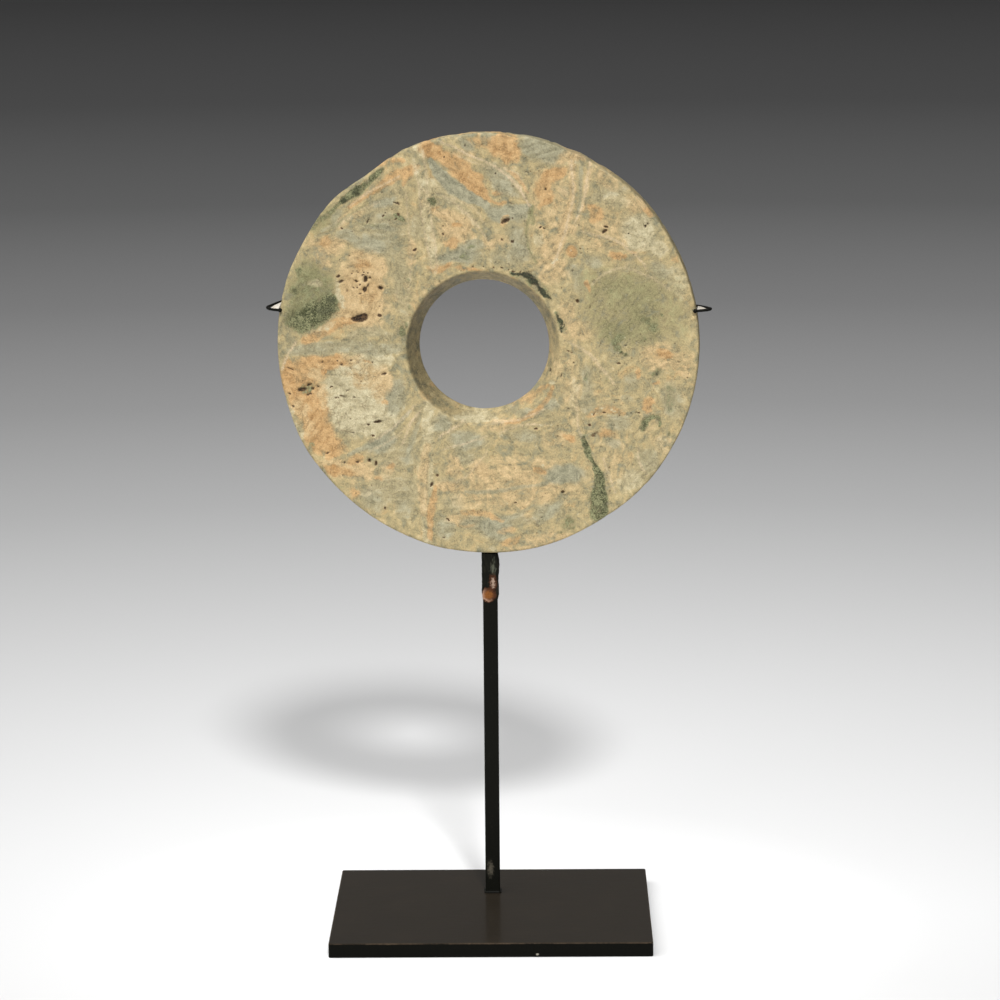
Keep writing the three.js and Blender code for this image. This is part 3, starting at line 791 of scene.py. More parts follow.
PITS: tuple[Patch, ...] = (
    *pits((-55.5, 11, 3.2, 1.7, 12), (-54.3, 12.2, 1.6, 0.8, 0), (-58.3, 10.8, 1.4, 0.8, 15),
          (-53.1, 28.2, 0.9, 1.3), (-53.6, 23.6, 1.3, 1), (-46.7, 24.4, 1.2, 0.9, -25),
          (-51.2, 28.9, 0.7, 0.7), (-57.5, 27.4, 0.6, 0.8, 30), (8.6, 53.8, 2, 0.8, 25),
          (51.5, 49.2, 1.2, 0.7, 40), (-52.6, -52.1, 0.9, 0.7), (-49.7, -53.4, 0.6, 1.2),
          (-48.6, -35, 1.8, 0.55, 12), (-82, -20.7, 2.2, 0.8, 8), (-78.6, -18.4, 1.4, 0.5, 20),
          (-77, -20.2, 0.7, 0.45), (39.8, 18.6, 0.8, 0.8), (32.8, -65.8, 0.9, 0.6), (52.1, 51.2, 0.7, 0.4),
          (69.4, 51.6, 0.7, 0.6, 40), depth=0.7),
    *pits((-55.8, 25.6, 0.35, 0.35), (-52.3, 30.6, 0.5, 0.4), (-56.4, 31.2, 0.6, 0.3),
          (-55.6, 21.8, 0.5, 0.35), (-64, 27.3, 1.6, 0.7, 25), (-54, 31.3, 0.4, 0.35),
          (-56.8, 24.4, 0.35, 0.35), (-52.4, 24.6, 0.4, 0.4), (-53.9, 21.6, 0.4, 0.35),
          (-59.2, 30.6, 0.3, 0.3), (-65, 29.4, 0.9, 0.5), (-47.2, 12.3, 1.1, 0.6),
          (-39, 61.4, 1.6, 0.5, -20), (-60, 38.6, 0.5, 0.5), (-54.4, 29.8, 0.6, 0.4),
          (-58.6, 24.6, 0.5, 0.4), (-51.9, 25.6, 0.5, 0.5), (-61.5, 23, 0.5, 0.5), (-47.2, 16, 0.4, 0.4),
          (-51.6, 53.8, 0.5, 1.5, -20), (-38.5, 56.5, 0.8, 0.6, -40), (-39.8, 54.3, 0.5, 0.4),
          (-42, 54, 0.4, 0.4), (-43.8, 57.2, 0.4, 0.4), (-41, 58.8, 0.3, 0.3), (-45, 56, 0.35, 0.35),
          (-38.4, 43, 0.4, 0.7), (-31.3, 41, 1.2, 0.4, 30), (-18, 81.6, 0.6, 0.4), (-19, 48, 0.5, 0.6),
          (-9, 86.4, 0.5, 0.4), (-63, 50.6, 0.5, 0.4), (7, 45.6, 0.7, 0.35, -20),
          (11.4, 44.7, 0.9, 0.5, 30), (11.6, 54.6, 0.5, 0.4), (4.4, 74.4, 0.6, 0.3, 30),
          (10.6, 61.5, 1, 0.3), (18.2, 75.1, 1.5, 0.4), (18.4, 73.3, 0.6, 0.3), (26, 67.5, 0.5, 0.5),
          (23.6, 51.1, 0.6, 0.5), (25.2, 50.4, 0.6, 0.35), (41.2, 39.5, 0.6, 0.4), (38.4, 38, 0.5, 0.3),
          (41, 41.6, 0.4, 0.3), (40.8, 4.4, 0.7, 0.4, -40), (70.2, 52.4, 0.4, 0.6), (45.2, 16, 0.5, 0.4),
          (20.6, 31.8, 0.6, 0.3), (62.3, 48.2, 0.5, 0.3), (37.8, 32, 0.6, 0.3), (-52.6, -36.3, 0.9, 0.4),
          (-60.3, -39.9, 1.1, 0.45), (-51, -41.2, 1, 0.4, 10), (-45.6, -13.4, 1.3, 0.45, 15),
          (-69, -19.6, 0.8, 0.4), (-63.6, -23.8, 1.8, 0.35, -12), (-66.6, -24.3, 0.8, 0.3),
          (-60.2, -7.6, 0.6, 0.5), (-64.4, -9.4, 0.7, 0.5, 40), (-66, -8, 0.5, 0.4), (-60.6, -11, 0.5, 0.3),
          (-87, -11.6, 1.8, 0.45, -20), (-58, -53, 0.9, 0.5), (-72.8, -8.4, 0.7, 0.6),
          (-25.1, -62.8, 0.45, 1.4, -22), (-22.6, -58.7, 0.6, 0.5), (-45.7, -73.6, 0.6, 0.4),
          (-18, -78.4, 0.9, 0.4, -30), (-24.3, -85.4, 0.4, 0.3), (-20.2, -86.6, 0.6, 0.3),
          (-79, -22.8, 1.4, 0.6, 30), (-75, -19.4, 0.8, 0.5), (-50.5, -8.4, 0.8, 0.25),
          (-56, -14.4, 0.7, 0.25), (-59, -24, 0.8, 0.25, -30), (-62, -21.2, 1.1, 0.25, 20),
          (-56, -17, 0.9, 0.22), (-54, -30, 0.5, 0.22), (-87.5, -22.5, 0.6, 0.5), (-86, -28, 0.5, 0.5, 30),
          (-71, -49, 0.8, 0.4), (-63.8, -53.2, 0.9, 0.3), (33.4, -67.4, 0.9, 0.3), (23.3, -77.2, 0.6, 0.5),
          (22, -79.1, 0.5, 0.4), (22, -81, 0.4, 0.4), (51, -30.6, 0.7, 0.4), (58, -31.4, 0.5, 0.3),
          (63, -30.6, 0.5, 0.3), (35.4, -29, 0.7, 0.3), (21.4, -37.6, 0.7, 0.4),
          (46.6, -31.1, 0.6, 0.3, 30), (32.2, -14, 0.4, 0.9, -20), (36, -3.6, 1.8, 0.25),
          (38, -8.4, 1, 0.25, 40), (57.6, -8.6, 0.8, 0.4), (66, -30.4, 0.6, 0.4), (44.6, -36, 0.5, 0.6),
          (-6, 33.6, 0.5, 0.3), (-1.6, 33.8, 0.6, 0.3), (3, 33.4, 0.5, 0.35), (6.6, 33, 0.7, 0.35),
          (9.4, 32.4, 0.6, 0.4), (12, 31.6, 0.8, 0.4), (14.6, 31.4, 0.5, 0.4), (60.6, -1, 0.6, 0.4),
          (84, -8, 0.9, 0.2), (87, -14.6, 0.9, 0.2), (53.6, -54.6, 0.3, 0.8), (12, -70.8, 0.5, 0.3),
          depth=0.3, amount=0.85),
)

SPARKLES: tuple[Patch, ...] = patches(
    Tint.CREAM, (47, -29.4, 0.5, 0.35, 0, 0.9), (51.6, -28, 0.6, 0.35, 20, 0.9),
    (55.8, -29.8, 0.6, 0.4, 0, 0.9), (49.4, -30.2, 0.5, 0.3, 0, 0.8), (52.8, -29.9, 0.5, 0.3, 0, 0.8),
    (59, -30, 0.5, 0.35, 0, 0.8), (23.5, -36.2, 1.2, 0.4, -10, 1), (28, -35.8, 0.7, 0.4, 30, 0.9),
    (6, -41, 1, 0.7, 0, 1), (28.8, -17.3, 0.9, 0.7, 20, 1), (50, -28.4, 0.9, 0.5, 0, 1),
    (54.5, -28.9, 0.7, 0.5, 0, 0.9), (57, -31, 0.8, 0.4, 30, 0.9), (61, -32.2, 1.2, 0.7, 0, 1),
    (45.8, -31.3, 0.7, 0.4, 30, 0.9), (48, -31, 0.9, 0.4, 0, 0.7), (53, -31.6, 0.6, 0.4, 0, 0.8),
    (29, 35.6, 1, 0.6, 45, 0.8), (31, 37, 0.8, 0.5, 45, 0.7), (-46, 61, 0.5, 0.4, 0, 0.6),
    (-25, -30.2, 0.9, 0.3, 0, 0.8), (-23.4, -29, 0.9, 0.3, 20, 0.8), (24, -54, 0.9, 0.7, -40, 0.6),
    (78, -42.6, 0.6, 0.5, 0, 0.8), (80, -41, 0.5, 0.5, 0, 0.8), (66, -60.6, 1, 0.5, 40, 0.6),
    (-75, 47, 0.6, 0.4, 0, 0.5), (39, 79.4, 0.6, 0.4, 40, 0.7), (42.6, -5, 1.4, 0.3, 0, 0.4), softness=0.5)

FIBRES: tuple[Grain, ...] = (
    Grain(-60, 64, 12, 33), Grain(-45, 48, 11, -6), Grain(-70, 46, 9, 25), Grain(-57, 37, 7, 10),
    Grain(-52, 18, 10, 70),
    Grain(-77, 22, 10, 35), Grain(-40, 30, 7, 75), Grain(-27, 62, 6, 88), Grain(-14, 60, 8, -40),
    Grain(-8, 74, 9, -32),
    Grain(-12, 40, 8, 5), Grain(8, 60, 8, -5), Grain(25, 85, 8, 14), Grain(14, 46, 6, 80),
    Grain(27, 66, 7, 75),
    Grain(41, 66, 6, 88), Grain(30, 38, 7, 50), Grain(55, 48, 9, -18), Grain(66, 62, 7, -50),
    Grain(68, 34, 9, 10),
    Grain(62, 16, 12, 50), Grain(46, 14, 9, 70), Grain(-62, 2, 12, 4), Grain(-82, -14, 8, -25),
    Grain(-60, -18, 10, -2),
    Grain(-76, -36, 8, 60), Grain(-56, -36, 7, 5), Grain(-37, -26, 7, 62), Grain(-48, -46, 8, 24),
    Grain(-60, -57, 7, -10),
    Grain(-42, -66, 8, 0), Grain(-27, -60, 6, 88), Grain(-30, -44, 6, 55), Grain(-18, -38, 7, 28),
    Grain(-8, -52, 9, 32),
    Grain(-12, -76, 10, 10), Grain(12, -60, 14, 4), Grain(14, -76, 12, 12), Grain(20, -36, 8, 18),
    Grain(32, -70, 8, 40),
    Grain(36, -50, 8, 2), Grain(48, -62, 6, -68), Grain(58, -52, 7, 80), Grain(50, -28, 9, 10),
    Grain(34, -12, 7, 80),
    Grain(60, -10, 9, 35), Grain(80, -10, 8, 15), Grain(72, -34, 8, 40), Grain(70, -54, 6, 45),
)


# ---------- finishes ----------

@dataclass(frozen=True)
class Jade:
    """Weathered jade: a fibrous tan and grey-green ground with ochre, cream, moss and open pits."""
    ground: tuple[tuple[float, Colour], ...] = (
        (0.15, linear(150, 145, 115)), (0.4, linear(173, 159, 119)), (0.6, linear(186, 167, 122)),
        (0.85, linear(202, 185, 141)))
    warm: Colour = linear(195, 162, 110)
    cool: Colour = linear(152, 149, 121)
    tints: tuple[tuple[Tint, Colour, Colour], ...] = (
        (Tint.BLUE, linear(145, 142, 115), linear(178, 171, 141)),
        (Tint.OCHRE, linear(184, 141, 88), linear(208, 172, 121)),
        (Tint.PEACH, linear(192, 162, 114), linear(213, 186, 140)),
        (Tint.CREAM, linear(186, 172, 133), linear(208, 197, 161)),
        (Tint.OLIVE, linear(112, 113, 74), linear(162, 155, 113)),
        (Tint.THREAD, linear(196, 176, 138), linear(216, 194, 158)),
        (Tint.MOSS, linear(52, 58, 28), linear(141, 140, 102)),
        (Tint.DARK, linear(6, 8, 5), linear(70, 73, 50)),
        (Tint.PIT, linear(24, 17, 11), linear(96, 74, 50)))
    speck: Colour = linear(92, 78, 52)
    glint: Colour = linear(216, 204, 170)
    seam: Colour = linear(132, 112, 80)
    wall_shade: Colour = linear(112, 103, 72)
    relief: float = 0.00016

    def material(self) -> bpy.types.Material:
        """Build the stone's material."""
        graph = Graph("weathered jade")
        place = graph.place()
        fine = graph.noise(place, 0.62, 2, 0.6)
        grain = graph.noise(place, 1.9, 4, 0.66, 0.4)
        mottle = graph.noise(place, 5.5, 4, 0.62, 1.2)
        fibre = graph.value("fibre")
        pale = graph.threads(place, 3.1, 2.4, 0.075) * grain.between(-0.3, 0.3)
        turned = graph.turned(place, (40, 20, 70), (1, 1, 1))
        dusky = graph.threads(turned, 4.2, 2.0, 0.06) * fibre.between(-0.3, 0.3, 1, 0)
        hairs = graph.threads(turned, 1.4, 1.8, 0.13) * mottle.between(-0.45, 0.2)
        creases = graph.threads(place, 1.7, 1.4, 0.12) * mottle.between(-0.2, 0.45, 1, 0)
        level = fibre * 0.24 + grain * 0.2 + mottle * 0.3 + 0.5
        colour = graph.node("ShaderNodeValToRGB", {"stops": self.ground}, {"Fac": level})
        warmth = mottle * 0.8 + graph.value("warmth")
        colour = graph.mix(colour, self.warm, warmth.between(0.1, 0.55, 0, 0.7))
        colour = graph.mix(colour, self.cool, (0 - warmth).between(0.05, 0.5, 0, 0.75))
        shade = (grain * 0.4 + fibre * 0.3 + mottle * 0.35 + fine * 0.15 + 0.5).between(0.0, 1.0)
        ragged = grain * 0.14 + fibre * 0.22 + mottle * 0.5
        rough_shade = (grain * 0.9 + fine * 0.9 + fibre * 0.4 + hairs * 0.5 + 0.4).between(0.0, 1.0)
        broken = grain * 0.55 + fine * 0.3 + fibre * 0.3 + mottle * 0.25
        for tint, low, high in self.tints:
            share = graph.value(tint.value)
            edge = share * (1.05 - share) * 4
            if tint is Tint.THREAD:
                cover = share * grain.between(-0.4, 0.1, 0.5, 1)
                colour = graph.mix(colour, graph.mix(low, high, shade), cover)
            elif tint in (Tint.MOSS, Tint.DARK, Tint.PIT):
                cover = (share + broken * edge).between(0.16, 0.84)
                colour = graph.mix(colour, graph.mix(low, high, rough_shade), cover)
            else:
                cover = (share + ragged * edge).between(0.06, 0.94)
                colour = graph.mix(colour, graph.mix(low, high, shade), cover)
        colour = self._seams(graph, place, colour)
        colour = self._specks(graph, place, colour, grain)
        # painted shade: the faces that turn right or down are turned olive and darker
        colour = graph.mix(colour, self.wall_shade, graph.value("painted_shade") * 0.7)
        shadow = graph.value("painted_shade") * 0.4
        light = fine * 0.2 + grain * 0.06 + fibre * 0.05 + pale * 0.14 + hairs * 0.17
        light = light - dusky * 0.2 - creases * 0.13
        colour = graph.tone(colour, light + 0.865 - shadow)
        rough = (grain * 0.2 + graph.value(Tint.PIT.value) * 0.3 + 0.58).between(0.3, 0.95, 0.42, 0.8)
        height = fine * 0.35 + grain * 0.5 + fibre * 0.4 + pale * 0.4 - dusky * 0.6
        height = height - graph.value(Tint.PIT.value) * 2
        fixed = {"Base Color": colour, "Roughness": rough, "Specular IOR Level": 0.3}
        return graph.finish(fixed, height, self.relief)

    def _seams(self, graph: Graph, place: Wire, colour: Wire) -> Wire:
        """Lay a net of hair cracks where the stone is crazed."""
        sockets = {"Vector": place, "Scale": 260.0, "Detail": 2.0}
        stir = graph.node("ShaderNodeTexNoise", {}, sockets, "Color")
        bent = graph.node("ShaderNodeVectorMath", {"operation": "MULTIPLY_ADD"}, {
            0: stir, 1: (0.005, 0.005, 0.005), 2: graph.turned(place, (0, 12, 0), (0.75, 1, 1.25))})
        settings = {"feature": "DISTANCE_TO_EDGE"}
        net = graph.node("ShaderNodeTexVoronoi", settings, {"Vector": bent, "Scale": 210.0}, "Distance")
        line = net.between(0.0, 0.055, 1, 0) * graph.value("crackle")
        return graph.mix(colour, self.seam, line * 0.55)

    def _specks(self, graph: Graph, place: Wire, colour: Wire, grain: Wire) -> Wire:
        """Scatter dark specks and a few pale glints over the stone."""
        for size, tint, common, amount in ((1.9, self.speck, 0.76, 0.7), (1.3, self.speck, 0.8, 0.5),
                                           (2.6, self.glint, 0.88, 0.4)):
            sockets = {"Vector": place, "Scale": 1 / (size * MM)}
            distance = graph.node("ShaderNodeTexVoronoi", {}, sockets, "Distance") + grain * 0.22
            chance = graph.node("ShaderNodeTexVoronoi", {}, sockets, "Color")
            chance = graph.node("ShaderNodeSeparateColor", {}, {"Color": chance}, "Red")
            spot = distance.between(0.06, 0.24, 1, 0) * chance.between(common, 0.97)
            colour = graph.mix(colour, tint, spot * amount)
        return colour


@dataclass(frozen=True)
class BlackenedSteel:
    """Black wax over mild steel, with bare braze (with a painted highlight) and scuffs at named places on
    the post.
    """
    body: Colour = linear(15, 15, 11)
    worn: Colour = linear(52, 50, 41)
    head: Colour = linear(30, 29, 22)
    brass: Colour = linear(126, 78, 38)
    rust: Colour = linear(74, 44, 28)
    braze_highlight: Colour = linear(180, 144, 120)
    fleck: Colour = linear(170, 146, 128)
    scratch: Colour = linear(88, 90, 76)
    bare: Colour = linear(98, 92, 80)
    braze_at: Triple | None = None
    fleck_at: Triple | None = None
    scuff_at: Triple | None = None

    def material(self, name: str) -> bpy.types.Material:
        """Build the material, with the braze and scuffs only where their places are given.

        Args:
            name: the material's name.

        Returns:
            The finished material.
        """
        graph = Graph(name)
        place = graph.place()
        grain = graph.noise(place, 0.9, 4, 0.65)
        streak = graph.noise(graph.turned(place, (0, 0, 0), (1, 1, 0.22)), 1.3, 3, 0.6, 0.4)
        colour = graph.mix(self.body, self.worn, (grain + streak * 0.6).between(0.3, 0.9, 0, 0.4))
        rough = (grain * 0.2 + 0.45).between(0.2, 0.7, 0.36, 0.54)
        if self.braze_at is not None and self.fleck_at is not None and self.scuff_at is not None:
            lumpy = graph.value("lumpy")
            colour = graph.mix(colour, self.head, lumpy * streak.between(-0.2, 0.5))
            colour = graph.mix(colour, self.worn, lumpy * streak.between(0.3, 0.6) * 0.9)
            scuff = graph.spot(place, self.scuff_at, (0.0022, 0.004, 0.0055)) + grain * 0.7
            colour = graph.mix(colour, self.bare, scuff.between(0.2, 0.85, 0.6, 0))
            blotch = graph.noise(place, 2.2, 3, 0.65)
            streaked = graph.spot(place, self.fleck_at, (0.0018, 0.003, 0.005), (0, 0, 0.0068))
            streaked = streaked + streak * 1.6
            colour = graph.mix(colour, self.scratch, streaked.between(0.1, 0.8, 0.8, 0))
            mark = graph.spot(place, self.fleck_at, (0.0013, 0.003, 0.0034)) + grain * 1.1 + blotch * 0.5
            colour = graph.mix(colour, self.rust, mark.between(0.9, 1.6, 0.8, 0))
            colour = graph.mix(colour, self.fleck, mark.between(0.2, 0.85, 0.75, 0))
            patch = graph.spot(place, self.braze_at, (0.0031, 0.003, 0.0029)) + grain * 0.2 + blotch * 0.3
            colour = graph.mix(colour, self.rust, patch.between(0.95, 1.25, 0.9, 0))
            # painted highlight: a pale rim on the braze's left and lower side
            lit = graph.spot(place, self.braze_at, (0.006, 0.003, 0.006), (0.0032, 0, 0.002))
            lit = lit.between(0.55, 1.1)
            rim = graph.mix(self.rust, self.braze_highlight, lit * blotch.between(-0.6, 0.2, 0.4, 1))
            colour = graph.mix(colour, rim, patch.between(0.85, 1.05, 1, 0))
            centre = graph.mix(self.rust, self.brass, (grain + blotch * 0.5).between(-0.7, 0.2))
            colour = graph.mix(colour, centre, patch.between(0.42, 0.9, 1, 0))
            rough = rough + lumpy * 0.15
        fixed = {"Base Color": colour, "Roughness": rough, "Specular IOR Level": 0.07}
        return graph.finish(fixed, grain + streak * 0.5, 0.00005)


@dataclass(frozen=True)
class BrownedSteel:
    """Waxed steel with painted light and shade: lighter top, darker sides; worn brown arrises; a bright
    nick.
    """
    # top and side are the same steel: the lighter top is painted light, the darker side painted shade
    top: Colour = linear(36, 31, 24)
    side: Colour = linear(9, 9, 6)
    worn: Colour = linear(84, 70, 55)
    dust: Colour = linear(52, 45, 37)
    speck: Colour = linear(170, 164, 150)
    speck_at: Triple = (0.0, 0.0, 0.0)

    def material(self) -> bpy.types.Material:
        """Build the plate's material."""
        graph = Graph("browned steel")
        place = graph.place()
        grain = graph.noise(place, 0.8, 4, 0.7)
        cloud = graph.noise(place, 16, 4, 0.6)
        brushed = graph.noise(graph.turned(place, (0, 0, 0), (0.12, 1, 1)), 1.2, 3, 0.6)
        # painted light on the top, with real dust mixed in; painted shade on the sides
        upper = graph.mix(self.top, self.dust, (cloud * 0.3 + grain * 0.5).between(-0.1, 0.6, 0, 0.7))
        colour = graph.mix(self.side, upper, graph.value("upper"))
        wear = graph.value("wear") + grain * 0.4 + cloud * 0.3
        colour = graph.mix(colour, self.worn, wear.between(0.7, 1.3, 0, 0.7))
        mark = graph.spot(place, self.speck_at, (0.0009, 0.002, 0.0006)) + grain * 0.3
        colour = graph.mix(colour, self.speck, mark.between(0.4, 1.0, 0.6, 0))
        colour = graph.tone(colour, 1 + grain * 0.2 + brushed * 0.1)
        rough = (cloud * 0.1 + grain * 0.15 + brushed * 0.1 + 0.45).between(0.2, 0.7, 0.38, 0.54)
        fixed = {"Base Color": colour, "Roughness": rough, "Specular IOR Level": 0.05,
                 "Coat Weight": graph.value("upper") * 0.3, "Coat Roughness": 0.16}
        return graph.finish(fixed, grain + brushed * 0.4, 0.00003)


@dataclass(frozen=True)
class PaleRubber:
    """Matt cream rubber of the pads."""
    body: Colour = linear(206, 199, 187)
    grubby: Colour = linear(176, 166, 146)

    def material(self) -> bpy.types.Material:
        """Build the pads' material."""
        graph = Graph("pale rubber")
        place = graph.place()
        grain = graph.noise(place, 0.7, 3, 0.6)
        colour = graph.mix(self.body, self.grubby, (grain + graph.noise(place, 2.5)).between(0.1, 0.6))
        rough = (grain * 0.3 + 0.8).between(0.6, 1.0, 0.7, 0.9)
        fixed = {"Base Color": colour, "Roughness": rough, "Specular IOR Level": 0.25}
        return graph.finish(fixed, grain, 0.00005)


@dataclass(frozen=True)
class StudioPaper:
    """Pale paper with painted light: a bright pool round the object, painted darker with distance."""
    # painted light: grey levels by distance in metres, above white near the object
    painted_falloff: tuple[tuple[float, int], ...] = (
        (0.0, 275), (0.13, 272), (0.2, 255), (0.42, 232), (0.7, 207), (1.06, 178), (1.55, 149), (2.27, 120),
        (3.4, 90), (5.5, 65), (10.6, 45))
    light: float = 0.728

    def material(self) -> bpy.types.Material:
        """Build the paper's material."""
        graph = Graph("studio paper")
        place = graph.place()
        away = graph.node("ShaderNodeVectorMath", {"operation": "LENGTH"}, {0: place}, "Value")
        share = graph.node("ShaderNodeMath", {"operation": "SQRT"}, {0: away / self.painted_falloff[-1][0]})
        stops = []
        for distance, grey in self.painted_falloff:
            shade = linear(grey, grey, grey)[0] * self.light
            stops.append((math.sqrt(distance / self.painted_falloff[-1][0]), (shade, shade, shade)))
        colour = graph.node("ShaderNodeValToRGB", {"stops": stops}, {"Fac": share})
        tooth = graph.noise(place, 3, 3)
        rough = tooth.between(-0.5, 0.5, 0.9, 1.0)
        return graph.finish({"Base Color": colour, "Roughness": rough, "Specular IOR Level": 0.1})


# ---------- the pieces ----------

@dataclass(frozen=True)
class Seat:
    """Where the disc sits: its axis, and how far it is turned on the stand."""
    x: float
    y: float
    z: float
    turn: float = -4.0

    def to_world(self, points: Points) -> Points:
        """Turn points about the post and bring them into the frame.

        Args:
            points: places in mm from the disc's centre, one row each.

        Returns:
            The places in metres.
        """
        cos, sin = math.cos(math.radians(self.turn)), math.sin(math.radians(self.turn))
        x = points[:, 0] * cos - points[:, 1] * sin + self.x
        y = points[:, 0] * sin + points[:, 1] * cos + self.y
        return np.stack([x, y, points[:, 2] + self.z], axis=1) * MM


def middle(node: str) -> np.ndarray:
    """Give the middle of a frame node's box in mm."""
    low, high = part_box(node)
    return (np.array(low) + np.array(high)) / 2 / MM


def edge(node: str, side: int) -> np.ndarray:
    """Give a frame node's lowest (0) or highest (1) corner in mm."""
    return np.array(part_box(node)[side]) / MM


def settle(piece: bpy.types.Object, node: str, slot: str, *others: str) -> bpy.types.Object:
    """Let a finished piece stand for its frame nodes and report it."""
    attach(piece, BODY)
    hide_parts(node, *others)
    piece.data.calc_loop_triangles()
    log.info("%s: %d triangles, %s", piece.name, len(piece.data.loop_triangles), slot)
    return piece


@dataclass
class RimFlat:
    """A place where the rim is worn flat or stands proud, by its angle in degrees."""
    at: float
    half_width: float
    depth: float


@dataclass
class BiDisc:
    """The pierced stone ring, with its eccentric tapered hole, worn rim, pits and mineral figure."""
    seat: Seat
    radius: float = 92.65
    thickness: float = 11.0
    rim_rounding: float = 1.1
    hole_rounding: float = 0.8
    hole_front: tuple[float, float, float] = (33.9, -2.1, -1.4)
    hole_back: tuple[float, float, float] = (28.6, -2.1, -0.8)
    figure_rise: float = 0.8
    front_step: float = 0.64
    back_step: float = 1.3
    wall_step: float = 0.85
    flats: tuple[RimFlat, ...] = (
        RimFlat(125, 13, 1.6), RimFlat(150, 11, 0.45), RimFlat(116, 3, 0.35), RimFlat(98, 3, 0.3),
        RimFlat(82, 3, 0.3), RimFlat(68, 4, 0.55), RimFlat(59, 3.5, 0.5), RimFlat(302, 20, 0.7),
        RimFlat(43, 14, -0.35), RimFlat(209, 12, -0.6), RimFlat(255, 10, -0.35))
    lattice: Lattice = field(default_factory=lambda: Lattice(41))

    def section(self) -> tuple[Points, np.ndarray]:
        """Walk once round the ring's section.

        Returns:
            Radius, depth and the outward direction of each ring, and each ring's step.
        """
        back, rim = self.thickness / 2, self.radius - self.rim_rounding
        front_hole, back_hole = self.hole_front[0], self.hole_back[0]
        rows: list[tuple[float, float, float, float, float]] = []

        def run(start: tuple[float, float], end: tuple[float, float], way: tuple[float, float], step: float,
                dense: float = 1.0) -> None:
            """Add rings along a straight stretch."""
            count = int(math.ceil(math.dist(start, end) / (step * dense)))
            for share in np.linspace(0, 1, count, endpoint=False):
                rows.append((start[0] + (end[0] - start[0]) * share,
                             start[1] + (end[1] - start[1]) * share, *way, step))

        def turn(centre: tuple[float, float], radius: float, start: float, end: float, steps: int,
                 step: float) -> None:
            """Add rings round an arris."""
            for angle in np.radians(np.linspace(start, end, steps, endpoint=False)):
                out = (math.cos(angle), math.sin(angle))
                rows.append((centre[0] + radius * out[0], centre[1] + radius * out[1], *out, step))

        small = self.hole_rounding
        taper = math.atan2(back_hole - front_hole, self.thickness)
        wall = (-math.cos(taper), math.sin(taper))
        flare = small * 0.4
        run((front_hole + small, -back), (rim, -back), (0, -1), self.front_step, 0.87)
        turn((rim, -back + self.rim_rounding), self.rim_rounding, -90, 0, 4, self.front_step)
        run((self.radius, -back + self.rim_rounding), (self.radius, back - self.rim_rounding), (1, 0),
            self.wall_step)
        turn((rim, back - self.rim_rounding), self.rim_rounding, 0, 90, 3, self.wall_step)
        run((rim, back), (back_hole + small, back), (0, 1), self.back_step, 0.87)
        rows.append((back_hole + flare, back - 0.12, -0.5, 0.86, self.wall_step))
        rows.append((back_hole + 0.1, back - flare, -0.9, 0.43, self.wall_step))
        run((back_hole + 0.05, back - small), (front_hole - 0.45, -back + small), wall, self.wall_step)
        rows.append((front_hole - 0.1, -back + flare, -0.7, -0.7, self.wall_step * 0.85))
        rows.append((front_hole + flare, -back + 0.1, -0.3, -0.95, self.wall_step * 0.85))
        table = np.array(rows)
        return table[:, :4], table[:, 4]

    def rim_offset(self, degrees: np.ndarray) -> np.ndarray:
        """Sum the worn flats of the rim at each angle."""
        total = np.zeros(len(degrees))
        for flat in self.flats:
            away = np.abs((degrees - flat.at + 540) % 360 - 180) / flat.half_width
            total -= np.where(away < 1, flat.depth * np.cos(np.clip(away, 0, 1) * math.pi / 2) ** 2, 0)
        return total

    def rings(self) -> tuple[Points, Points, np.ndarray, np.ndarray]:
        """Place every point of the ring and join neighbouring rings.

        Returns:
            Points in mm, their outward directions, how far back each is from 0 to 1, and triangles.
        """
        section, steps = self.section()
        counts = np.maximum(12, np.round(2 * math.pi * section[:, 0] / steps).astype(int))
        starts = np.concatenate([[0], np.cumsum(counts)])
        ring = np.repeat(np.arange(len(counts)), counts)
        angle = np.concatenate([np.arange(count) / count for count in counts]) * 2 * math.pi
        radius, y = section[ring, 0], section[ring, 1]
        mid = (self.hole_front[0] + self.hole_back[0]) / 2
        outer = np.clip((radius - mid) / (self.radius - mid), 0, 1)
        depth = y / self.thickness + 0.5
        reach = radius + self.rim_offset(np.degrees(angle)) * outer
        shift = [self.hole_front[k] + (self.hole_back[k] - self.hole_front[k]) * depth for k in (1, 2)]
        x = reach * np.cos(angle) + shift[0] * (1 - outer)
        z = reach * np.sin(angle) + shift[1] * (1 - outer)
        out = section[ring, 2]
        ways = np.stack([out * np.cos(angle), section[ring, 3], out * np.sin(angle)], axis=1)
        triangles = []
        for first in range(len(counts)):
            second = (first + 1) % len(counts)
            triangles.append(self.zip_rings(starts[first], counts[first], starts[second], counts[second]))
        return np.stack([x, y, z], axis=1), ways, depth, np.vstack(triangles)

    @staticmethod
    def zip_rings(start_a: int, count_a: int, start_b: int, count_b: int) -> np.ndarray:
        """Join two rings of evenly spaced points with triangles.

        Args:
            start_a: number of the first ring's first point.
            count_a: how many points it has.
            start_b: number of the second ring's first point.
            count_b: how many points it has.

        Returns:
            Triangles, one row each.
        """
        a, b = np.arange(count_a), np.arange(count_b)
        key_a, key_b = (a + 0.5) / count_a, (b + 0.5) / count_b
        beside_a = np.searchsorted(key_b, key_a, side="left") % count_b
        beside_b = np.searchsorted(key_a, key_b, side="right") % count_a
        over_a = np.stack([start_a + a, start_a + (a + 1) % count_a, start_b + beside_a], axis=1)
        over_b = np.stack([start_b + (b + 1) % count_b, start_b + b, start_a + beside_b], axis=1)
        return np.vstack([over_a, over_b])

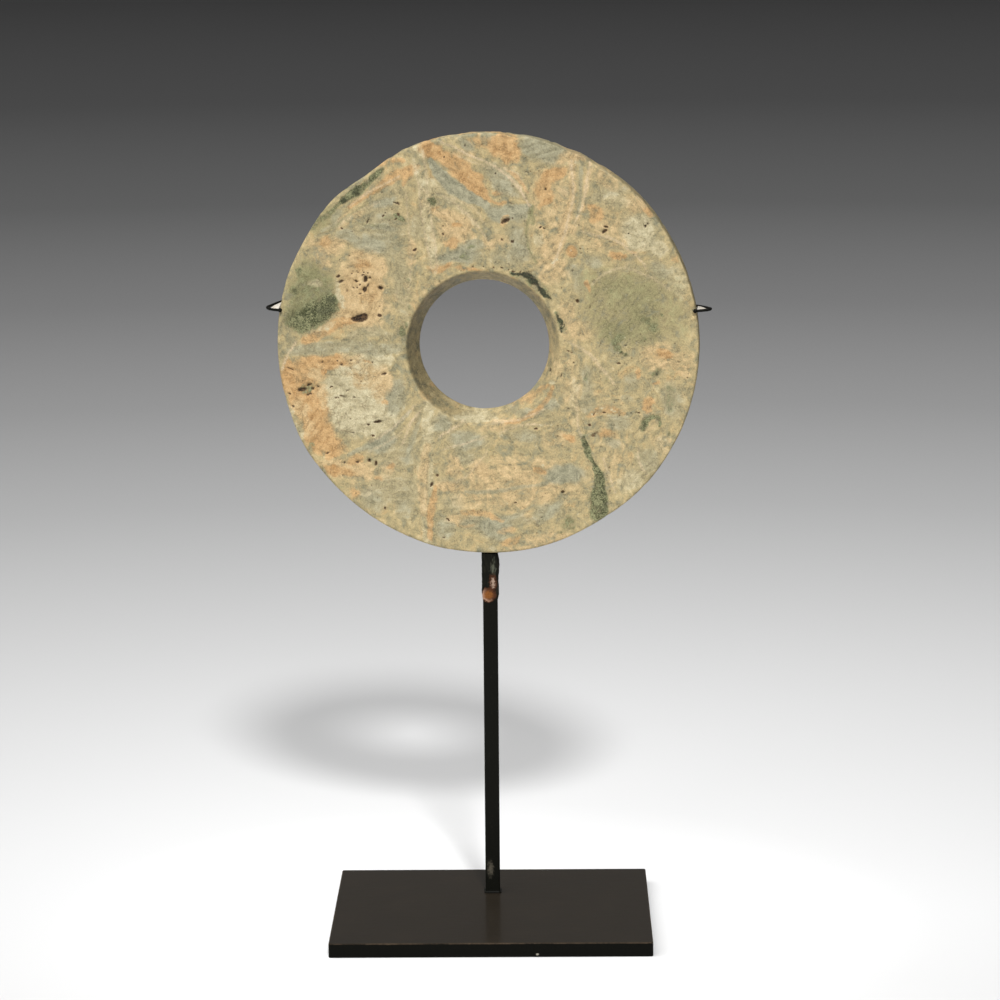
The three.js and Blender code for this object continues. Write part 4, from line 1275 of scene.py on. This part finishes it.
    def figure(self, points: Points, depth: np.ndarray) -> tuple[dict[str, np.ndarray], np.ndarray]:
        """Paint the stone's figure, which wanders as it passes through to the back.

        Args:
            points: places in mm.
            depth: how far back each is, from 0 to 1.

        Returns:
            The values that the finish reads, and the depth of the pits in mm.
        """
        cloud = self.lattice.cloud
        x, z = points[:, 0], points[:, 2] - self.figure_rise
        x = x + depth * (12 * cloud(points + 300, 46, 2) + 6)
        z = z + depth * (12 * cloud(points + 500, 46, 2) - 4)
        ragged_x, ragged_z = cloud(points + 90, 9, 4, 0.6) * 3.4, cloud(points + 150, 9, 4, 0.6) * 3.4
        fine_x, fine_z = cloud(points + 210, 2.2, 2) * 0.55, cloud(points + 260, 2.2, 2) * 0.55
        shares = np.zeros((len(Tint) + 1, len(points)))
        shares[0] = 1
        order = list(Tint)
        relief = np.zeros(len(points))
        fading = 1 - depth * 0.35
        for mark in (*GROUND, *BANDS, *LINES, *MOSS, *PITS, *SPARKLES):
            loose = 0.3 if isinstance(mark, Vein) else 1.0
            loose = 0.0 if mark.depth or mark in SPARKLES else loose
            share = mark.cover(x + ragged_x * loose + fine_x, z + ragged_z * loose + fine_z) * fading
            here = share > 0.002
            shares[:, here] *= 1 - share[here]
            shares[order.index(mark.tint) + 1, here] += share[here]
            relief[here] = np.maximum(relief[here], share[here] * mark.depth)
        values = {}
        for number, tint in enumerate(order, start=1):
            below = shares[:number + 1].sum(axis=0)
            values[tint.value] = np.clip(shares[number] / np.maximum(below, 1e-6), 0, 1)
        values["fibre"] = self.fibre(points, x, z)
        values["warmth"] = cloud(points + 700, 17, 3) * 0.3
        crazed = Patch(Tint.CREAM, -60, -22, 17, 20, 0, 1.0, 0.4).cover(x + ragged_x, z + ragged_z)
        crazed = np.maximum(crazed, Patch(Tint.CREAM, 34, -9, 5, 9, 0, 0.8, 0.5).cover(x, z))
        values["crackle"] = crazed * (0.35 + 0.65 * smoothstep(-0.25, 0.3, cloud(points + 800, 7, 2)))
        return values, relief

    def fibre(self, points: Points, x: np.ndarray, z: np.ndarray) -> np.ndarray:
        """Run streaks along each region's grain, from about -1 to 1."""
        total = 0.35 * self.lattice.cloud(points + 400, 3.0, 3)
        weights = np.full(len(points), 0.35)
        for number, grain in enumerate(FIBRES):
            weight = np.exp(-((x - grain.x) ** 2 + (z - grain.z) ** 2) / grain.reach ** 2)
            near = weight > 0.03
            cos, sin = math.cos(math.radians(grain.angle)), math.sin(math.radians(grain.angle))
            along = (x[near] * cos + z[near] * sin) / 5.5
            across = (z[near] * cos - x[near] * sin) / 1.0
            streak = np.stack([along, points[near, 1] / 5, across], axis=1)
            total[near] += weight[near] * self.lattice.cloud(streak + 11.7 * number, 1.6, 3, 0.6)
            weights[near] += weight[near]
        return np.clip(total / weights * 2.4, -1, 1)

    def nicks(self, points: Points) -> np.ndarray:
        """Chip the rim's arrises where the stone is rough, in mm of lost stone."""
        angle = np.degrees(np.arctan2(points[:, 2], points[:, 0])) % 360
        radius = np.hypot(points[:, 0], points[:, 2])
        rough_top = smoothstep(42, 56, angle) * (1 - smoothstep(132, 146, angle))
        rough_side = smoothstep(14, 22, angle) * (1 - smoothstep(48, 60, angle))
        rough = 0.25 + 0.75 * rough_top + 0.4 * rough_side
        chips = np.maximum(0, self.lattice.cloud(points + 600, 5, 3, 0.6) - 0.05)
        edge_share = smoothstep(self.radius - 3.2, self.radius - 1.2, radius)
        return chips * edge_share * rough * 1.5

    def painted_shade(self, points: Points, ways: Points) -> np.ndarray:
        """Paint shade on the hole's left and upper wall and the right of the rim, from 0 to 1."""
        away = np.hypot(points[:, 0] - self.hole_front[1], points[:, 2] - self.hole_front[2])
        inside = 1 - smoothstep(self.hole_front[0] - 0.9, self.hole_front[0] + 0.2, away)
        # painted shade: strongest on faces that turn right, weaker on those that turn down
        wall_shade = np.clip(ways[:, 0] * 0.85, 0, 1) + np.clip(-ways[:, 2], 0, 1) * 0.3
        rim = smoothstep(self.radius - 0.7, self.radius - 0.1, np.hypot(points[:, 0], points[:, 2]))
        return inside * np.clip(wall_shade, 0, 1) + rim * np.clip(ways[:, 0], 0, 1) * 0.6

    def build(self) -> bpy.types.Object:
        """Make the stone and dress it."""
        points, ways, depth, triangles = self.rings()
        values, relief = self.figure(points, depth)
        swell = self.lattice.cloud(points, 26, 2) * 0.14 + self.lattice.cloud(points + 50, 4, 2) * 0.05
        moved = points + ways * (swell - relief - self.nicks(points))[:, None]
        world = self.seat.to_world(moved)
        stone = new_object("bi_disc_stone", world, outward(world, triangles))
        # painted shade on the faces that turn right or down
        values["painted_shade"] = self.painted_shade(points, ways)
        for name, amounts in values.items():
            set_values(stone, name, amounts)
        stone.data.materials.append(Jade().material())
        return settle(stone, "bi_disc", "jade")


@dataclass
class BasePlate:
    """The flat steel plate, with narrow broken arrises."""
    corner: float = 1.0
    arris: float = 0.35

    def build(self) -> bpy.types.Object:
        """Make the plate and dress it."""
        low, high = edge("base_plate", 0), edge("base_plate", 1)
        width, depth, _ = high - low
        centre = (low + high) / 2
        levels = [(self.arris, low[2], 0.3, 0.0)]
        for angle in np.radians((30, 60, 90)):
            inset = self.arris * (1 - math.sin(angle))
            levels.append((inset, low[2] + self.arris * (1 - math.cos(angle)), 0.6, 0.0))
        levels += [(0, low[2] + 1.2, 0.1, 0.0), (0, high[2] - 1.0, 0.1, 0.0)]
        for angle in np.radians((0, 30, 60, 90)):
            inset = self.arris * (1 - math.cos(angle))
            levels.append((inset, high[2] - self.arris * (1 - math.sin(angle)), 1.0, float(angle > 1.2)))
        levels += [(self.arris + 0.5, high[2], 0.35, 1.0), (self.arris + 2.0, high[2], 0.0, 1.0)]
        loops, wear, upper = [], [], []
        for inset, height, worn, top in levels:
            radius = max(self.corner - inset, 0.15)
            outline = rounded_rectangle(width - 2 * inset, depth - 2 * inset, radius, 4, 400)
            outline = outline + centre[:2]
            loops.append(np.column_stack([outline, np.full(len(outline), height)]) * MM)
            wear += [worn] * len(outline)
            upper += [top] * len(outline)
        plate = loft("base_plate_steel", loops)
        set_values(plate, "wear", np.array(wear))
        # marks the top faces, which the finish paints lighter than the sides as painted light
        set_values(plate, "upper", np.array(upper))
        mark = (20 * MM, low[1] * MM, (low[2] + 1.3) * MM)
        plate.data.materials.append(BrownedSteel(speck_at=mark).material())
        return settle(plate, "base_plate", "browned_steel")


@dataclass
class Post:
    """The square post with its rough brazed head and the weld round its foot."""
    side: float = 6.5
    arris: float = 0.5
    head_side: float = 7.3
    head_height: float = 21.0
    weld_leg: float = 0.6
    lattice: Lattice = field(default_factory=lambda: Lattice(7))

    def build(self) -> bpy.types.Object:
        """Make the post and dress it."""
        low, high = edge("post", 0), edge("post", 1)
        centre = (low + high) / 2
        head_from = high[2] - self.head_height
        heights = np.concatenate([
            low[2] + np.linspace(0, self.weld_leg * 1.4, 7), np.arange(low[2] + 3, head_from - 2, 6.0),
            np.arange(head_from - 2, high[2] - 0.35, 0.55), [high[2] - 0.3, high[2] - 0.1, high[2]]])
        loops, lumpy = [], []
        for height in heights:
            loop, rough = self.ring(height, low[2], high[2], head_from)
            loops.append((loop + [centre[0], centre[1], 0]) * MM)
            lumpy += [rough] * len(loop)
        post = loft("post_steel", loops)
        set_values(post, "lumpy", np.array(lumpy))
        front = (centre[1] - self.head_side / 2) * MM
        finish = BlackenedSteel(
            braze_at=((centre[0] - 0.9) * MM, front, (high[2] - 19.1) * MM),
            fleck_at=((centre[0] + 1.3) * MM, front, (high[2] - 13.5) * MM),
            scuff_at=((centre[0] - 1.0) * MM, front, (low[2] + 11) * MM))
        post.data.materials.append(finish.material("blackened post"))
        return settle(post, "post", "blackened_steel")

    def ring(self, height: float, foot: float, top: float, head_from: float) -> tuple[Points, float]:
        """Shape the post's outline at one height.

        Args:
            height: height of the ring.
            foot: height of the post's foot.
            top: height of its head.
            head_from: height where the brazed head starts.

        Returns:
            The ring's points and how lumpy it is.
        """
        rough = float(smoothstep(head_from - 1, head_from + 1.5, np.array([height]))[0])
        weld = max(0.0, 1 - (height - foot) / self.weld_leg) ** 1.6 * self.weld_leg
        closing = 0.5 * max(0.0, 1 - (top - height) / 0.3)
        side = self.side + (self.head_side - self.side) * rough + 2 * (weld - closing)
        radius = self.arris + 0.7 * rough + 0.6 * weld
        flat = rounded_rectangle(side, side, radius, 5, 0.75 if rough else 0.8)
        count = 48
        turns = np.linspace(0, 1, count, endpoint=False)
        closed = np.vstack([flat, flat[:1]])
        along = np.concatenate([[0], np.cumsum(np.linalg.norm(np.diff(closed, axis=0), axis=1))])
        even = np.stack([np.interp(turns * along[-1], along, closed[:, k]) for k in (0, 1)], axis=1)
        loop = np.column_stack([even, np.full(count, height)])
        away = loop[:, :2] / np.linalg.norm(loop[:, :2], axis=1)[:, None]
        lumps = self.lattice.cloud(loop * [1, 1, 0.7], 3.2, 3, 0.6) * 0.5 * rough
        ripple = self.lattice.cloud(loop + 40, 1.6, 2) * 0.3 * min(1.0, weld)
        below = top - height
        bulge = 0.35 * math.exp(-((below - 6) / 3.4) ** 2) - 0.5 * math.exp(-(below / 1.6) ** 2)
        loop[:, :2] += away * (lumps + ripple)[:, None]
        loop[:, 0] += np.where(loop[:, 0] > 1, bulge * rough, 0)
        return loop, rough


class Side(Enum):
    """Which arm of the cradle a piece belongs to."""
    LEFT = -1
    RIGHT = 1

    @property
    def word(self) -> str:
        """Give the side's name in lower case."""
        return self.name.lower()


@dataclass(frozen=True)
class Prong:
    """A prong's height over the disc's axis, its slope up towards the back and its reach."""
    height: float
    rise: float
    reach: float


@dataclass
class Cradle:
    """Two bent rods behind the ring, each drawn down to a prong that hooks round the rim over a pad."""
    seat: Seat
    disc_radius: float
    disc_back: float
    gap: float = GAP
    rod_radius: float = 1.2
    arc_radius: float = 80.0
    arc_start: float = -78.0
    root_x: float = 1.6
    root_y: float = 5.15
    root_length: float = 20.0
    prong_radius: float = 0.62
    prongs: dict[Side, Prong] = field(default_factory=lambda: {
        Side.LEFT: Prong(16.6, 0.17, 96.8), Side.RIGHT: Prong(15.7, 0.04, 97.6)})
    tip_lift: float = 0.6
    end_radius: float = 0.95
    pad_thickness: float = 0.7

    def at(self, side: Side, out: float, back: float, lift: float = 0.0) -> tuple[float, float, float]:
        """Place a point on a prong, which rises towards the back."""
        prong = self.prongs[side]
        return side.value * out, back, prong.height + back * prong.rise + lift

    def path(self, side: Side) -> Points:
        """Bend one rod: up from the post, round behind the ring and forward over its rim.

        Args:
            side: which arm it belongs to.

        Returns:
            Points along the rod, in mm from the disc's centre.
        """
        behind = self.disc_back + self.gap + self.rod_radius
        front = -self.disc_back
        bottom = -self.disc_radius - self.gap
        sign = side.value
        root = [(sign * self.root_x, self.root_y, bottom - self.root_length),
                (sign * self.root_x, self.root_y, bottom - self.root_length / 2),
                (sign * self.root_x, self.root_y + 0.5, bottom - 5),
                (sign * (self.root_x + 0.4), behind, bottom - 1),
                (sign * (self.root_x + 1.6), behind + 0.1, bottom + 4)]
        shoulder = self.at(side, 0, behind)[2]
        end = math.degrees(math.asin((shoulder - 5) / self.arc_radius))
        arc = [(sign * self.arc_radius * math.cos(a), behind, self.arc_radius * math.sin(a))
               for a in np.radians(np.linspace(self.arc_start, end, 12))]
        bend = [(sign * (self.arc_radius + 0.3), behind, shoulder - 1.5)]
        reach = self.prongs[side].reach
        hook = [self.at(side, 83, behind), self.at(side, 86.5, behind), self.at(side, 91, behind - 0.2),
                self.at(side, reach - 3.2, behind - 3.2),
                self.at(side, reach - 1.1, behind - 8, self.tip_lift / 2),
                self.at(side, reach, front + 0.8, self.tip_lift),
                self.at(side, reach - 0.7, front - 0.6, self.tip_lift * 0.8),
                self.at(side, 94, front - 1.1, self.tip_lift / 3), self.at(side, 90.9, front - 1.4)]
        return smooth_path([*root, *arc, *bend, *hook], 0.8)

    def build(self) -> list[bpy.types.Object]:
        """Make both rods and both pads and dress them."""
        steel = BlackenedSteel(worn=linear(44, 42, 36)).material("blackened rod")
        rubber = PaleRubber().material()
        pieces = []
        for side in Side:
            pieces.append(self.rod(side, steel))
            pieces.append(self.pad(side, rubber))
        return pieces

    def rod(self, side: Side, steel: bpy.types.Material) -> bpy.types.Object:
        """Sweep one rod along its path with Geometry Nodes."""
        line = self.seat.to_world(self.path(side))
        guide = bpy.data.meshes.new("rod_path")
        guide.from_pydata(line.tolist(), [(i, i + 1) for i in range(len(line) - 1)], [])
        holder = bpy.data.objects.new(f"{side.word}_rod_path", guide)
        bpy.context.scene.collection.objects.link(holder)
        travelled = np.concatenate([[0], np.cumsum(np.linalg.norm(np.diff(line, axis=0), axis=1))])
        taper = float(travelled[-1]) - 31 * MM
        sizes = {"Rod radius": self.rod_radius * MM, "Prong radius": self.prong_radius * MM,
                 "Taper start": taper, "Taper length": 6 * MM, "End radius": self.end_radius * MM}
        made = SweptRod(sizes, steel).apply_to(holder, f"{side.word}_arm_rod")
        return settle(made, f"{side.word}_arm", "blackened_steel")

    def pad(self, side: Side, rubber: bpy.types.Material) -> bpy.types.Object:
        """Shape the pad that fills the crook of a prong.

        Args:
            side: which arm it belongs to.
            rubber: its material.

        Returns:
            The finished pad.
        """
        front = -self.disc_back
        prong = self.prongs[side]
        inner = 91.75
        outline = np.array([(inner, 4.6), (prong.reach - 4.5, 3.4), (prong.reach - 2.4, -1),
                            (prong.reach - 1.4, -4.2), (prong.reach - 1.9, front + 0.5),
                            (inner, front + 0.3)])
        mesh = bmesh.new()
        slope = math.atan(prong.rise)
        for level in (-0.5, 0.5):
            rise = level * self.pad_thickness
            ring = [(side.value * out, back * math.cos(slope) - rise * math.sin(slope),
                     prong.height + back * math.sin(slope) + rise * math.cos(slope))
                    for out, back in outline]
            for point in self.seat.to_world(np.array(ring)):
                mesh.verts.new(point)
        mesh.verts.ensure_lookup_table()
        count = len(outline)
        mesh.faces.new([mesh.verts[i] for i in range(count)])
        mesh.faces.new([mesh.verts[count + i] for i in range(count)])
        for i in range(count):
            j = (i + 1) % count
            mesh.faces.new([mesh.verts[i], mesh.verts[j], mesh.verts[count + j], mesh.verts[count + i]])
        bmesh.ops.bevel(mesh, geom=list(mesh.edges), offset=0.2 * MM, segments=3, affect="EDGES",
                        profile=0.5)
        bmesh.ops.recalc_face_normals(mesh, faces=list(mesh.faces))
        data = bpy.data.meshes.new(f"{side.word}_pad_rubber")
        mesh.to_mesh(data)
        mesh.free()
        pad = bpy.data.objects.new(f"{side.word}_pad_rubber", data)
        bpy.context.scene.collection.objects.link(pad)
        data.polygons.foreach_set("use_smooth", [True] * len(data.polygons))
        data.materials.append(rubber)
        return settle(pad, f"{side.word}_pad", "pale_pad")


@dataclass
class SweptRod:
    """A node tree that sweeps a tapering round bar along a line and rounds its end with a blob."""
    sizes: dict[str, float]
    material: bpy.types.Material
    sides: int = 20

    def tree(self) -> bpy.types.NodeTree:
        """Build the geometry node tree."""
        tree = bpy.data.node_groups.new("swept rod", "GeometryNodeTree")
        tree.interface.new_socket("Path", in_out="INPUT", socket_type="NodeSocketGeometry")
        for name in self.sizes:
            tree.interface.new_socket(name, in_out="INPUT", socket_type="NodeSocketFloat")
        tree.interface.new_socket("Rod", in_out="OUTPUT", socket_type="NodeSocketGeometry")
        given = tree.nodes.new("NodeGroupInput").outputs

        def add(kind: str, settings: dict[str, Any], sockets: dict[int | str, Any]) -> bpy.types.Node:
            """Add one node, with its settings first and then its sockets."""
            node = tree.nodes.new(kind)
            for key, value in settings.items():
                setattr(node, key, value)
            for key, value in sockets.items():
                if isinstance(value, bpy.types.NodeSocket):
                    tree.links.new(value, node.inputs[key])
                else:
                    node.inputs[key].default_value = value
            return node

        curve = add("GeometryNodeMeshToCurve", {}, {"Mesh": given["Path"]})
        along = add("GeometryNodeSplineParameter", {}, {})
        end = add("ShaderNodeMath", {"operation": "ADD"}, {
            0: given["Taper start"], 1: given["Taper length"]})
        radius = add("ShaderNodeMapRange", {"interpolation_type": "SMOOTHSTEP"}, {
            0: along.outputs["Length"], 1: given["Taper start"], 2: end.outputs[0], 3: given["Rod radius"],
            4: given["Prong radius"]})
        circle = add("GeometryNodeCurvePrimitiveCircle", {}, {"Resolution": self.sides, "Radius": 1.0})
        bar = add("GeometryNodeCurveToMesh", {}, {
            "Curve": curve.outputs[0], "Profile Curve": circle.outputs["Curve"], "Scale": radius.outputs[0],
            "Fill Caps": True})
        tip = add("GeometryNodeCurveEndpointSelection", {}, {"Start Size": 0, "End Size": 1})
        ball = add("GeometryNodeMeshUVSphere", {}, {
            "Segments": 20, "Rings": 12, "Radius": given["End radius"]})
        blob = add("GeometryNodeInstanceOnPoints", {}, {
            "Points": curve.outputs[0], "Selection": tip.outputs[0], "Instance": ball.outputs["Mesh"]})
        both = add("GeometryNodeJoinGeometry", {}, {})
        tree.links.new(blob.outputs[0], both.inputs[0])
        tree.links.new(bar.outputs[0], both.inputs[0])
        real = add("GeometryNodeRealizeInstances", {}, {"Geometry": both.outputs[0]})
        smooth = add("GeometryNodeSetShadeSmooth", {}, {"Geometry": real.outputs[0]})
        dressed = add("GeometryNodeSetMaterial", {}, {
            "Geometry": smooth.outputs[0], "Material": self.material})
        add("NodeGroupOutput", {}, {0: dressed.outputs[0]})
        return tree

    def apply_to(self, holder: bpy.types.Object, name: str) -> bpy.types.Object:
        """Run the tree on a path and keep the result as a plain mesh.

        Args:
            holder: the object whose mesh is the path.
            name: the new piece's name.

        Returns:
            The new piece.
        """
        tree = self.tree()
        modifier = holder.modifiers.new("sweep", "NODES")
        modifier.node_group = tree
        for item in tree.interface.items_tree:
            if item.name in self.sizes:
                modifier[item.identifier] = self.sizes[item.name]
        seen = holder.evaluated_get(bpy.context.evaluated_depsgraph_get())
        data = bpy.data.meshes.new_from_object(seen)
        data.name = name
        holder.modifiers.remove(modifier)
        bpy.data.objects.remove(holder)
        piece = bpy.data.objects.new(name, data)
        bpy.context.scene.collection.objects.link(piece)
        return piece


# ---------- the studio ----------

@dataclass
class Studio:
    """The floor, the lights and the camera."""
    paper_radius: float = 32.0
    lens: float = 128.6
    camera_at: tuple[float, float, float] = (0.0227, -1.534, 0.4643)
    pitch: float = 10.155
    yaw: float = -0.666
    roll: float = -0.468

    def build(self) -> None:
        """Set up everything round the object."""
        scene = bpy.context.scene
        scene.view_settings.view_transform = "Standard"
        world = bpy.data.worlds.new("studio")
        world.use_nodes = True
        world.node_tree.nodes["Background"].inputs["Color"].default_value = (*linear(118, 118, 118), 1)
        scene.world = world
        self.floor()
        self.sun("key", 2.6, 38.0, 8, 7.5)
        self.sun("left", 2.15, 52, -70, 80)
        self.sun("overhead", 0.45, 84, 0, 60)
        self.camera()

    def floor(self) -> None:
        """Lay the paper floor."""
        angles = np.linspace(0, 2 * math.pi, 96, endpoint=False)
        ring = np.stack([np.cos(angles), np.sin(angles), 0 * angles], axis=1) * self.paper_radius
        paper = new_object("paper_floor", ring, [list(range(len(ring)))])
        paper.data.materials.append(StudioPaper().material())

    def sun(self, name: str, strength: float, height: float, towards_right: float, spread: float) -> None:
        """Add a soft distant light.

        Args:
            name: the light's name.
            strength: its strength.
            height: degrees above the horizon.
            towards_right: degrees from the viewer's side, to the right.
            spread: the light's apparent width in degrees.
        """
        data = bpy.data.lights.new(name, "SUN")
        data.energy = strength
        data.angle = math.radians(spread)
        lamp = bpy.data.objects.new(name, data)
        up, turn = math.radians(height), math.radians(towards_right)
        away = Vector((math.sin(turn) * math.cos(up), -math.cos(turn) * math.cos(up), math.sin(up)))
        lamp.rotation_euler = away.to_track_quat("Z", "Y").to_euler()
        lamp.location = away * 3
        bpy.context.scene.collection.objects.link(lamp)

    def camera(self) -> None:
        """Aim the camera."""
        data = bpy.data.cameras.new("camera")
        data.lens = self.lens
        data.sensor_width = 36
        data.clip_end = 100
        pitch, yaw, roll = (math.radians(angle) for angle in (self.pitch, self.yaw, self.roll))
        ahead = Vector((math.sin(yaw) * math.cos(pitch), math.cos(yaw) * math.cos(pitch), -math.sin(pitch)))
        level = Vector((math.cos(yaw), -math.sin(yaw), 0))
        up = level.cross(ahead)
        right = level * math.cos(roll) + up * math.sin(roll)
        up = up * math.cos(roll) - level * math.sin(roll)
        camera = bpy.data.objects.new("camera", data)
        camera.matrix_world = matrix_of(right, up, -ahead, Vector(self.camera_at))
        bpy.context.scene.collection.objects.link(camera)
        bpy.context.scene.camera = camera


def matrix_of(right: Vector, up: Vector, back: Vector, place: Vector) -> Matrix:
    """Build a placing matrix from three directions and a place."""
    return Matrix((
        (right.x, up.x, back.x, place.x), (right.y, up.y, back.y, place.y),
        (right.z, up.z, back.z, place.z), (0, 0, 0, 1)))


def main() -> None:
    """Build the disc and its stand in order, then the studio."""
    post_middle, post_top = middle("post"), edge("post", 1)[2]
    seat = Seat(post_middle[0], post_middle[1], post_top + GAP + BiDisc.radius)
    BiDisc(seat).build()
    BasePlate().build()
    Post().build()
    Cradle(seat, BiDisc.radius, BiDisc.thickness / 2).build()
    Studio().build()


if __name__ == "__main__":
    main()
